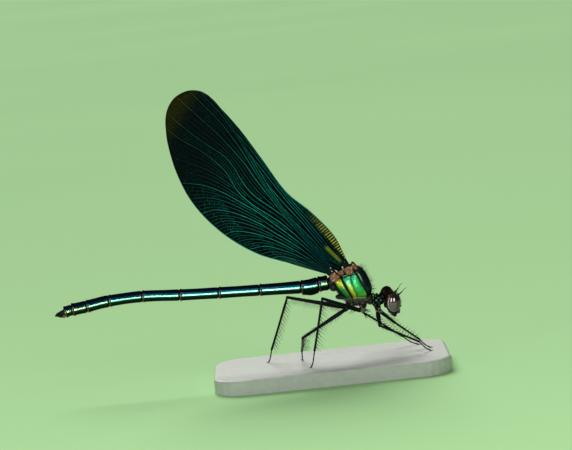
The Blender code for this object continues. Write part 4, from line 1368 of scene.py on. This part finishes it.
def add_foot(bag, ankle, toe, shin):
    """Three tarsal pieces down to the base and two hooked claws."""
    lowest = np.array((toe[0], toe[1], TARSUS_RADIUS * 0.75))
    middle = ankle + (lowest - ankle) * 0.5
    middle[2] = max(lowest[2], middle[2] * 0.72)
    line = smooth_line(np.stack((ankle - shin * 0.04, middle, lowest)), 31)
    for first, last in ((0, 8), (7, 17), (16, 30)):
        t = np.linspace(0, 1, last - first + 1)
        flare = 0.22 * ease(0.4, 0.95, t)
        ends = 0.35 * ease(0.95, 1.0, t) + 0.2 * ease(0.1, 0, t)
        radii = TARSUS_RADIUS * (0.92 + flare - ends)
        add_tube(bag, line[first:last + 1], radii, (0.2, 0.1, 1), 12, tint=LEG_BLACK, metal=0.2)
    ahead = unit((line[-1] - line[-6]) * (1, 1, 0.2))
    beside = np.cross(ahead, (0, 0, 1))
    for side in (-1, 1):
        hook = np.stack((
            line[-2],
            line[-1] + ahead * 0.10 + beside * side * 0.10 + (0, 0, 0.04),
            line[-1] + ahead * 0.26 + beside * side * 0.15 + (0, 0, 0.03),
            line[-1] + ahead * 0.36 + beside * side * 0.16 + (0, 0, -0.045),
        ))
        add_tube(bag, smooth_line(hook, 14), np.linspace(0.055, 0.012, 14), UP, 8, tint=CLAW_BROWN)


# Wings.

# Ranks of veins: 9 is a main vein, 4 to 1 are veins found between two others, and 0 is a dark rung.
RANK_WIDTH = {9: 1.0, 4: 0.70, 3: 0.60, 2: 0.55, 1: 0.50}
RANK_SHINE = {9: 1.0, 4: 0.42, 3: 0.26, 2: 0.18, 1: 0.12, 0: 0.0}
TEAL_VEIN = (0.004, 0.52, 0.47)
BLUE_VEIN = (0.006, 0.13, 0.34)
DARK_VEIN = (0.002, 0.014, 0.013)
OLIVE_VEIN = (0.10, 0.095, 0.016)
DARK_CELL = (0.0004, 0.0030, 0.0036)
OLIVE_CELL = (0.018, 0.017, 0.001)
GOLD_CELL = (0.50, 0.50, 0.08)
PATCH_CELL = (0.17, 0.20, 0.008)
# A painted sheen on the hind wing's membrane near its base.
BASE_SHEEN = (0.02, 0.07, 0.055)
RUNG_BLACK = (0.003, 0.003, 0.003)
ARM_BLACK = (0.010, 0.014, 0.016)
SWELL_BLACK = (0.010, 0.012, 0.014)
SHOULDER_BLACK = (0.008, 0.010, 0.012)
# White balls at the wing roots are painted glints.
PAINTED_GLINT_WHITE = (0.80, 0.78, 0.74)


def wing_place(shape, flat, aside):
    """Places in the animal's frame from places on the wing and their distance from the middle plane."""
    angle = math.radians(shape["angle"])
    out = np.array((math.cos(angle), math.sin(angle)))
    ahead = np.array((math.sin(angle), -math.cos(angle)))
    spot = np.array(shape["root"]) + flat[..., :1] * out + flat[..., 1:2] * ahead
    return np.stack((spot[..., 0], aside, spot[..., 1]), -1)


def gap_between(line, other):
    """Distance from each place of a line to the nearest place of another, and which place that is."""
    steps = np.linalg.norm(line[:, None] - other[None], axis=-1)
    nearest = steps.argmin(1)
    return steps[np.arange(len(line)), nearest], nearest


def end_on(line, edge):
    """The line with its last quarter eased over, so that it ends on the edge."""
    nearest = edge[np.linalg.norm(edge - line[-1], axis=1).argmin()]
    return line + (nearest - line[-1]) * ease(0.75, 1.0, np.linspace(0, 1, len(line)))[:, None]


def fill_veins(first, second, edge, start, depth, found):
    """Adds a vein midway between two, from where they are a cell's width apart, and again beside it."""
    if depth == 0:
        return
    gap, _ = gap_between(first[start:], second)
    wide = np.nonzero(gap > CELL_WIDTH)[0]
    if not len(wide) or wide[0] > len(gap) - 6:
        return
    begin = start + wide[0]
    middle = end_on((first + second) / 2, edge)
    fill_veins(first, middle, edge, begin, depth - 1, found)
    found.append((middle, begin, depth))
    fill_veins(middle, second, edge, begin, depth - 1, found)


def wing_net(shape):
    """All long veins of a wing, front to rear, each with the place where it begins and its rank."""
    edge = smooth_line(shape["margin"], EDGE_SAMPLES)
    mains = [end_on(smooth_line(vein, VEIN_SAMPLES), edge) for vein in shape["veins"]]
    net = []
    for first, second in pairwise(mains):
        net.append((first, 0, 9))
        between = []
        fill_veins(first, second, edge, 0, 4, between)
        net += between
    net.append((mains[-1], 0, 9))
    return mains, net


def pleat_of(mains):
    """A function that gives the height of the pleated membrane at places on the wing."""
    places = np.concatenate(mains)
    sign = np.repeat([(-1) ** i for i in range(len(mains))], [len(main) for main in mains])

    def height(flat):
        flat = np.asarray(flat, float)
        shaped = flat.reshape(-1, 2)
        out = np.zeros(len(shaped))
        for begin in range(0, len(shaped), 2000):
            part = shaped[begin:begin + 2000]
            gap = np.linalg.norm(part[:, None] - places[None], axis=-1)
            weight = 1 / (gap**3 + 0.02)
            out[begin:begin + 2000] = (weight * sign).sum(1) / weight.sum(1)
        fade = ease(0.2, 3.0, shaped[:, 0]) * (1 - 0.6 * ease(20, 30, shaped[:, 0]))
        return (out * fade * PLEAT).reshape(flat.shape[:-1])

    return height


def gold_share(flat, pair):
    """Shares of the gold ladder along the forewing's front edge and of the clear patch behind it."""
    out, ahead = flat[..., 0], flat[..., 1]
    if pair == "hind":
        return np.zeros(out.shape), np.zeros(out.shape)
    strip = ease(0.50, 0.62, ahead - 0.07 * out) * ease(0.4, 0.8, out) * ease(9.2, 6.0, out)
    patch = ease(0.75, 1.0, out) * ease(4.1, 3.1, out) * hump(-0.08, 0.26, ahead + 0.02 * out)
    return strip, ease(0.35, 0.6, patch)


def wing_tint_cell(flat, pair):
    """Colours of the membrane: near black, olive towards the tip, and gold cells at the forewing's base."""
    out, ahead = flat[..., 0], flat[..., 1]
    colour = np.broadcast_to(np.array(DARK_CELL), flat.shape[:-1] + (3,)).copy()
    tip = ease(27.6, 30.2, out - 0.25 * ahead)
    colour = mix(colour, OLIVE_CELL, tip)
    strip, patch = gold_share(flat, pair)
    colour = mix(colour, GOLD_CELL, strip * (1 - 0.6 * ease(3.0, 8.0, out)))
    colour = mix(colour, PATCH_CELL, patch)
    # A painted teal sheen near the hind wing's base.
    edge = ease(0.5, 1.2, out) * ease(7.0, 4.0, out) * ease(-0.55, -0.9, ahead + 0.42 * out)
    return mix(colour, BASE_SHEEN, edge * (0.7 if pair == "hind" else 0.0))


def wing_tint_vein(flat, rank):
    """Colours of the veins: blue at the base, teal green in the middle and olive at the tip."""
    out, ahead = flat[..., 0], flat[..., 1]
    strength = RANK_SHINE[rank]
    colour = layered(
        TEAL_VEIN,
        (BLUE_VEIN, 0.55 * ease(12, 5, out) * ease(-1.2, 0.2, ahead)),
        (DARK_VEIN, 0.82 * ease(13, 25, out)),
        (OLIVE_VEIN, ease(27.2, 29.4, out - 0.25 * ahead)),
        (DARK_VEIN, 0.55 * ease(7.0, 2.0, out)),
    )
    lively = ease(0.0, -2.0, ahead) * ease(24, 15, out) * ease(2, 7, out)
    return mix(DARK_VEIN, colour, strength + (1 - strength) * 0.45 * lively * (rank > 0))


def add_vein(bag, shape, flat, height, sign, width, rank):
    """A ridge whose shading looks round and which stands out on both faces of the membrane."""
    rows = len(flat)
    ahead = unit(np.gradient(flat, axis=0))
    beside = np.stack((-ahead[:, 1], ahead[:, 0]), 1)
    aside = base_aside(shape, flat) + height
    width = np.broadcast_to(width, (rows,))
    rings = ridge_corners(shape, flat, beside * width[:, None] / 2, aside, width * 0.40 + MEMBRANE_HALF, sign)
    quads = sheet_faces(rows, 4)
    base = (rows - 1) * 4
    quads = np.vstack((quads, (3, 2, 1, 0), (base, base + 1, base + 2, base + 3)))
    tint = np.repeat(wing_tint_vein(flat, rank), 4, axis=0)
    bag.add(rings.reshape(-1, 3), quads if sign > 0 else quads[:, ::-1], tint=tint, metal=0.9)


def ridge_corners(shape, flat, edge, aside, high, sign):
    """The four corners of a ridge's section at each place along it."""
    return np.stack([
        wing_place(shape, flat + edge * across, sign * (aside + high * up))
        for across, up in ((1, -1), (1, 1), (-1, 1), (-1, -1))
    ], -2)


def base_aside(shape, flat):
    """Distance of the membrane's middle from the middle plane, less towards the tip."""
    root, tip = shape["aside"]
    return root + (tip - root) * ease(0, 30, flat[..., 0])


def add_cross_veins(bag, shape, net, height, sign, pair):
    """Short veins across the cells between neighbouring long veins, close together as in a ladder."""
    starts, ends = [], []
    for (line, begin, _), (other, other_begin, _) in pairwise(net):
        lengths = reach_along(line)
        first = lengths[max(begin, other_begin)] + 0.15
        at = np.arange(first, lengths[-1] - 0.12, CROSS_SPACING)
        at = at + CHANCE.uniform(-0.06, 0.06, len(at))
        from_ = place_on(line, lengths, at)
        if not len(at):
            continue
        gap, nearest = gap_between(from_, other)
        good = (gap > 0.09) & (gap < 1.3) & (nearest > other_begin) & (nearest < len(other) - 2)
        starts.append(from_[good])
        ends.append(other[nearest[good]])
    starts, ends = np.vstack(starts), np.vstack(ends)
    count = len(starts)
    middles = (starts + ends) / 2
    line = np.stack((starts, middles, ends), 1)
    ahead = unit(ends - starts)
    beside = np.stack((-ahead[:, 1], ahead[:, 0]), 1)[:, None]
    aside = base_aside(shape, line) + height(line)
    high = CROSS_WIDTH * 0.4 + MEMBRANE_HALF
    points = ridge_corners(shape, line, beside * CROSS_WIDTH / 2, aside, high, sign).reshape(count, 12, 3)
    quads = np.vstack((sheet_faces(3, 4), (3, 2, 1, 0), (8, 9, 10, 11)))
    quads = (quads[None] + np.arange(count)[:, None, None] * 12).reshape(-1, 4)
    # Random crossveins take the teal as painted glints, and the rest stay dark.
    painted_glint = 0.75 * CHANCE.uniform(0.0, 1.0, count) ** 4
    tint = mix(DARK_VEIN, wing_tint_vein(line, 9)[:, 1], painted_glint)
    tint = mix(tint, RUNG_BLACK, gold_share(middles, pair)[0])
    tint = np.repeat(tint, 12, axis=0)
    bag.add(points.reshape(-1, 3), quads if sign > 0 else quads[:, ::-1], tint=tint, metal=0.9)


def add_ladder(bag, shape, mains, height, sign):
    """Dark rungs close together across the gold strip at the forewing's front edge."""
    reach = reach_along(mains[0])
    for at in np.arange(0.9, 9.0, LADDER_SPACING):
        start = place_on(mains[0], reach, at)
        end = mains[1][gap_between(start[None], mains[1])[1][0]]
        rung = even_line(np.stack((start, end)), 5)
        add_vein(bag, shape, rung, height(rung), sign, LADDER_WIDTH, 0)


def membrane_rows(mains, margin):
    """Rows of places that cover the wing from its front edge to its rear edge."""
    edge = smooth_line(margin, EDGE_SAMPLES)
    rows = []
    for first, second in pairwise(mains):
        for share in np.linspace(0, 1, 7)[:-1]:
            rows.append(end_on(first * (1 - share) + second * share, edge))
    rows.append(mains[-1])
    return np.array(rows)


def make_wings(materials):
    """Four shut wings: a thin pleated membrane and its net of veins for each."""
    for pair, shape in WINGS.items():
        mains, net = wing_net(shape)
        height = pleat_of(mains)
        rows = membrane_rows([main[::2] for main in mains], shape["margin"])
        margin = smooth_line(shape["margin"], MARGIN_SAMPLES)
        lift = height(rows)
        heights = [height(line[begin:]) for line, begin, _ in net]
        rooms = [vein_room(line[begin:], mains) for line, begin, _ in net]
        margin_height = height(margin)
        for side, sign in SIDES.items():
            bag = Bag()
            add_membrane(bag, shape, rows, lift, sign, pair)
            name = f"wing_membrane_{pair}_{side}"
            make_piece(name, bag, materials["membrane"], [f"wing_{pair}_{side}"])
            bag = Bag()
            for (line, begin, rank), rise, room in zip(net, heights, rooms):
                add_long_vein(bag, shape, line, begin, rank, rise, sign, room)
            add_vein(bag, shape, margin, margin_height, sign, MARGIN_WIDTH, 2)
            add_cross_veins(bag, shape, net, height, sign, pair)
            if pair == "fore":
                add_ladder(bag, shape, mains, height, sign)
            make_piece(f"wing_veins_{pair}_{side}", bag, materials["vein"])
            make_wing_root(materials, pair, shape, side, sign)


def vein_room(line, mains):
    """Distance from each place of a vein to the nearest main vein that isn't the vein itself."""
    gaps = np.array([gap_between(line, main)[0] for main in mains])
    return np.sort(np.where(gaps.max(1, keepdims=True) < 0.01, np.inf, gaps), axis=0)[0]


def add_long_vein(bag, shape, line, begin, rank, rise, sign, room):
    flat = line[begin:]
    share = np.linspace(begin / len(line), 1, len(flat))
    main = VEIN_WIDTH_ROOT + (VEIN_WIDTH_TIP - VEIN_WIDTH_ROOT) * share
    width = main * RANK_WIDTH[rank] * (0.42 + 0.58 * ease(0.5, 9.0, flat[:, 0]))
    width = np.minimum(width, np.maximum(VEIN_ROOM * room, 0.016))
    add_vein(bag, shape, flat, rise, sign, width, rank)


def add_membrane(bag, shape, rows, lift, sign, pair):
    """Both faces of the membrane and its rim."""
    count, length = rows.shape[:2]
    aside = base_aside(shape, rows) + lift
    tint = wing_tint_cell(rows, pair).reshape(-1, 3)
    outer = wing_place(shape, rows, sign * (aside + MEMBRANE_HALF)).reshape(-1, 3)
    inner = wing_place(shape, rows, sign * (aside - MEMBRANE_HALF)).reshape(-1, 3)
    quads = sheet_faces(count, length, closed=False)
    size = count * length
    rim = np.concatenate((
        np.arange(length),
        np.arange(1, count) * length + length - 1,
        (count - 1) * length + np.arange(length - 2, -1, -1),
        np.arange(count - 2, 0, -1) * length,
    ))
    after = np.roll(rim, -1)
    edge = np.stack((rim, rim + size, after + size, after), 1)
    faces = np.vstack((quads, quads[:, ::-1] + size, edge))
    if sign < 0:
        faces = faces[:, ::-1]
    bag.add(np.vstack((outer, inner)), faces, tint=np.vstack((tint, tint)), metal=0.0)


def make_wing_root(materials, pair, shape, side, sign):
    """The black arm that joins a wing to its brown plate, with small white balls on it as painted glints."""
    bag = Bag()
    x, y, z = HINGES[pair]
    hinge = np.array((x, sign * (y - 0.28), z + 0.10))
    front = wing_place(shape, np.array(((0.9, 0.40),)), np.array((sign * shape["aside"][0],)))[0]
    rear = wing_place(shape, np.array(((0.7, -0.45),)), np.array((sign * shape["aside"][0],)))[0]
    for end, thick in ((front, 0.17), (rear, 0.13)):
        middle = (hinge + end) / 2 + (0, sign * 0.10, 0.05)
        path = smooth_line(np.stack((hinge, middle, end)), 14)
        radii = np.linspace(thick * 1.5, thick * 0.45, 14)
        add_tube(bag, path, radii, (0, 1, 0.1), 12, tint=ARM_BLACK, metal=0.5)
    swell = (hinge + front) / 2 - (0.05, -sign * 0.02, 0.10)
    add_ball(bag, swell, (0.52, 0.22, 0.34), sides=20, rows=14, tint=SWELL_BLACK, metal=0.4)
    if pair == "hind":
        add_ball(bag, (3.72, sign * 1.08, 11.74), (0.40, 0.22, 0.34), tint=SHOULDER_BLACK, metal=0.3)
    # White balls as painted glints at the wing's root.
    for place, size in ((0.35, 0.13), (0.62, 0.10)):
        spot = hinge + (front - hinge) * place + (0, sign * 0.17, 0.02)
        add_ball(bag, spot, (size, size * 0.8, size), tint=PAINTED_GLINT_WHITE, metal=0.0)
    make_piece(f"wing_arm_{pair}_{side}", bag, materials["black"])


# Hair.

CHEST_HAIR = (0.015, 0.015, 0.012)
FACE_HAIR = (0.015, 0.014, 0.012)
CROWN_HAIR = (0.02, 0.018, 0.014)
HAIR_FAINT = (0.05, 0.05, 0.04)
DOWN_GREY = (0.26, 0.23, 0.20)
HEAD_HAIR_RADIUS = 0.010
THORAX_HAIRS, FACE_HAIRS, CROWN_HAIRS = 9000, 1700, 420


def thinned(mask, share):
    """A random share of the chosen places."""
    return mask & (CHANCE.uniform(0, 1, len(mask)) < share)


def add_coat(bag, roots, chosen, span, lean, radius, tint):
    """Hairs at the chosen places, with lengths drawn from a span and all leaning one way a little."""
    spots, ways, places = roots
    lengths = CHANCE.uniform(*span, chosen.sum())
    add_hairs(bag, spots[chosen], ways[chosen] + lean, lengths, radius, places[chosen], tint=tint)


def make_thorax_hair(materials, thorax):
    """Fine dark hair on the front of the thorax, grey down below it, and faint hair on its sides."""
    points, normals, high, back = thorax
    rows, columns = high.shape
    pick = CHANCE.integers(0, rows * columns, THORAX_HAIRS)
    high, back = high.ravel()[pick], back.ravel()[pick]
    places = np.stack(((pick % columns) / columns, (pick // columns) / rows), 1)
    front = thinned((back < 0.14) & (high > 0.12) & (high < 0.95), 0.22)
    ways = normals.reshape(-1, 3)[pick] + CHANCE.normal(0, 0.22, (len(pick), 3))
    roots = points.reshape(-1, 3)[pick], ways, places
    bag = Bag()
    add_coat(bag, roots, front, (0.45, 0.95), (0.25, 0, 0.12), 0.0075, CHEST_HAIR)
    under = thinned(high < 0.20, 0.9)
    add_coat(bag, roots, under, (0.20, 0.42), (0, 0, -0.5), 0.012, DOWN_GREY)
    rest = thinned((back > 0.16) & (high > 0.2) & (high < 0.8), 0.18)
    add_coat(bag, roots, rest, (0.15, 0.30), (0, 0, -0.3), 0.009, HAIR_FAINT)
    make_piece("thorax_hair", bag, materials["hair"])


def make_head_hair(materials):
    """Short bristles on the face, and others that stand up from the crown."""
    bag = Bag()
    ways = unit(CHANCE.normal(0, 1, (FACE_HAIRS, 3)))
    ways = ways[(ways[:, 0] > -0.5)]
    spots = ways * (0.92, 0.80, 1.0) + (0.12, 0, -0.10)
    spots[:, 0] += 0.30 * ease(0.1, -0.8, spots[:, 2])
    places = np.stack((np.arctan2(ways[:, 1], ways[:, 0]) / (2 * math.pi) + 0.5, (ways[:, 2] + 1) / 2), 1)
    turned = (ways + (0.5, 0, 0.1)) @ HEAD.T
    lengths = CHANCE.uniform(0.30, 0.60, len(ways))
    add_hairs(bag, in_head(spots), turned, lengths, HEAD_HAIR_RADIUS, places, tint=FACE_HAIR)
    crown = CHANCE.uniform(-1.0, 1.0, (CROWN_HAIRS, 2)) * (0.35, 1.25)
    spots = np.stack((crown[:, 0] - 0.25, crown[:, 1], 0.80 - 0.12 * crown[:, 1] ** 2), 1)
    ways = np.stack((0.4 * crown[:, 0] - 0.1, 0.4 * crown[:, 1], np.ones(len(crown))), 1)
    lengths = CHANCE.uniform(0.25, 0.50, len(crown))
    add_hairs(bag, in_head(spots), ways @ HEAD.T, lengths, HEAD_HAIR_RADIUS, crown / 4 + 0.5, tint=CROWN_HAIR)
    make_piece("head_hair", bag, materials["hair"])


# Studio.

def view_axes():
    """Ways towards the camera, to the picture's right and up it."""
    back = np.array((0, -math.cos(VIEW_DOWN), math.sin(VIEW_DOWN)))
    level_up = np.array((0, math.sin(VIEW_DOWN), math.cos(VIEW_DOWN)))
    level_right = np.array((1.0, 0, 0))
    right = math.cos(VIEW_ROLL) * level_right - math.sin(VIEW_ROLL) * level_up
    up = math.sin(VIEW_ROLL) * level_right + math.cos(VIEW_ROLL) * level_up
    return back, right, up


def make_camera():
    back, right, up = view_axes()
    camera = bpy.data.cameras.new("photo_view")
    camera.lens = LENS
    camera.sensor_width = SENSOR
    camera.clip_start, camera.clip_end = CLIP
    item = place_item("photo_view", camera)
    distance = VIEW_WIDTH * LENS / SENSOR
    place = lay(np.array(VIEW_AIM) + back * distance)
    turn = Matrix((right, up, back)).transposed().to_4x4()
    item.matrix_world = Matrix.Translation(Vector(place)) @ turn
    bpy.context.scene.camera = item


def link_light(light, pieces, state):
    """Lets a light reach these pieces alone, with state INCLUDE, or all but these, with EXCLUDE."""
    reached = bpy.data.collections.new(f"{light.name}_pieces")
    for piece in pieces:
        reached.objects.link(piece)
    for entry in reached.collection_objects:
        entry.light_linking.link_state = state
    light.light_linking.receiver_collection = reached


def way_to(azimuth, height):
    """The way from the animal to a light. Azimuth 0 is on the camera's side and 90 at the head."""
    turn, rise = math.radians(azimuth), math.radians(height)
    return np.array((math.sin(turn) * math.cos(rise), -math.cos(turn) * math.cos(rise), math.sin(rise)))


def place_light(name, kind, way, power):
    """Puts a light in the scene that shines against a way, and gives its object and its settings."""
    data = bpy.data.lights.new(name, kind)
    data.energy = power
    item = place_item(name, data)
    item.rotation_mode = "QUATERNION"
    item.rotation_quaternion = Vector(-way).to_track_quat("-Z", "Y")
    return item, data


def add_soft_box(name, azimuth, height, distance, size, power, aim):
    """A soft box that looks at a place on the animal."""
    way = way_to(azimuth, height)
    item, data = place_light(name, "AREA", way, power)
    data.shape = "RECTANGLE"
    data.size, data.size_y = size
    item.location = lay(aim) + way * distance
    item.visible_camera = False
    return item


def add_sky_light():
    """A broad even light from far away, which lights the whole floor alike."""
    item, data = place_light("sky_soft", "SUN", way_to(*SKY_PLACE), SKY_POWER)
    data.angle = SKY_SPREAD
    data.color = SKY_COLOUR
    return item


# Soft boxes: azimuth and height in degrees, then distance and size in metres, power in watts and aim.
# The first group lights everything but the eyes, and the second lights the near eye alone.
BODY_AIM, TAIL_AIM = (3.0, 0.0, 9.0), (-16.0, 0.0, 9.0)
BODY_BOXES = (
    ("key_front", 2, 11, 0.34, (0.045, 0.085), 0.14, BODY_AIM),
    ("key_tail", -47, 11, 0.34, (0.050, 0.090), 0.14, BODY_AIM),
    ("low_strip", -5, 2, 0.33, (0.16, 0.012), 0.10, TAIL_AIM),
    ("front_wide", 20, 38, 0.50, (0.30, 0.16), 0.30, BODY_AIM),
)
EYE_BOXES = (
    ("eye_front", 4, 9, 0.34, (0.125, 0.25), 2.6, BODY_AIM),
    ("eye_tail", -47, 9, 0.34, (0.13, 0.26), 2.6, BODY_AIM),
)
SKY_PLACE = (195, 44)
SKY_SPREAD = math.radians(40)
SKY_POWER = 2.75
SKY_COLOUR = (1.0, 0.99, 0.96)
AIR_COLOUR = (0.66, 0.76, 0.64, 1)
AIR_STRENGTH = 0.13
FLOOR_RADIUS = 12.0
FLOOR_GAP = 0.00002


def make_floor():
    mesh = bpy.data.meshes.new("studio_floor")
    build = bmesh.new()
    bmesh.ops.create_circle(build, cap_ends=True, segments=96, radius=FLOOR_RADIUS)
    build.to_mesh(mesh)
    build.free()
    mesh.materials.append(floor_material())
    floor = place_item("studio_floor", mesh)
    floor.location = (0, 0, CAD_BOX[0][2] - FLOOR_GAP)


def make_studio():
    make_floor()
    world = bpy.data.worlds.new("studio_air")
    world.use_nodes = True
    air = world.node_tree.nodes["Background"]
    air.inputs["Color"].default_value = AIR_COLOUR
    air.inputs["Strength"].default_value = AIR_STRENGTH
    bpy.context.scene.world = world
    near_eye, far_eye = PIECES["eye_lens_right"], PIECES["eye_lens_left"]
    link_light(add_sky_light(), PIECES.values(), "EXCLUDE")
    for box in BODY_BOXES:
        link_light(add_soft_box(*box), (near_eye, far_eye), "EXCLUDE")
    for box in EYE_BOXES:
        link_light(add_soft_box(*box), (near_eye,), "INCLUDE")
    bpy.context.scene.view_settings.view_transform = "Standard"


def dress_stand(materials):
    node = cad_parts["stand_base"]
    node.data.materials.clear()
    node.data.materials.append(materials["stand"])


def main():
    materials = make_materials()
    make_camera()
    dress_stand(materials)
    make_abdomen(materials)
    make_claspers(materials)
    thorax = make_thorax(materials)
    make_prothorax(materials)
    make_hinges(materials)
    make_head(materials)
    make_mouth(materials)
    make_eyes(materials)
    make_antennae(materials)
    make_legs(materials)
    make_wings(materials)
    make_thorax_hair(materials, thorax)
    make_head_hair(materials)
    make_studio()


main()
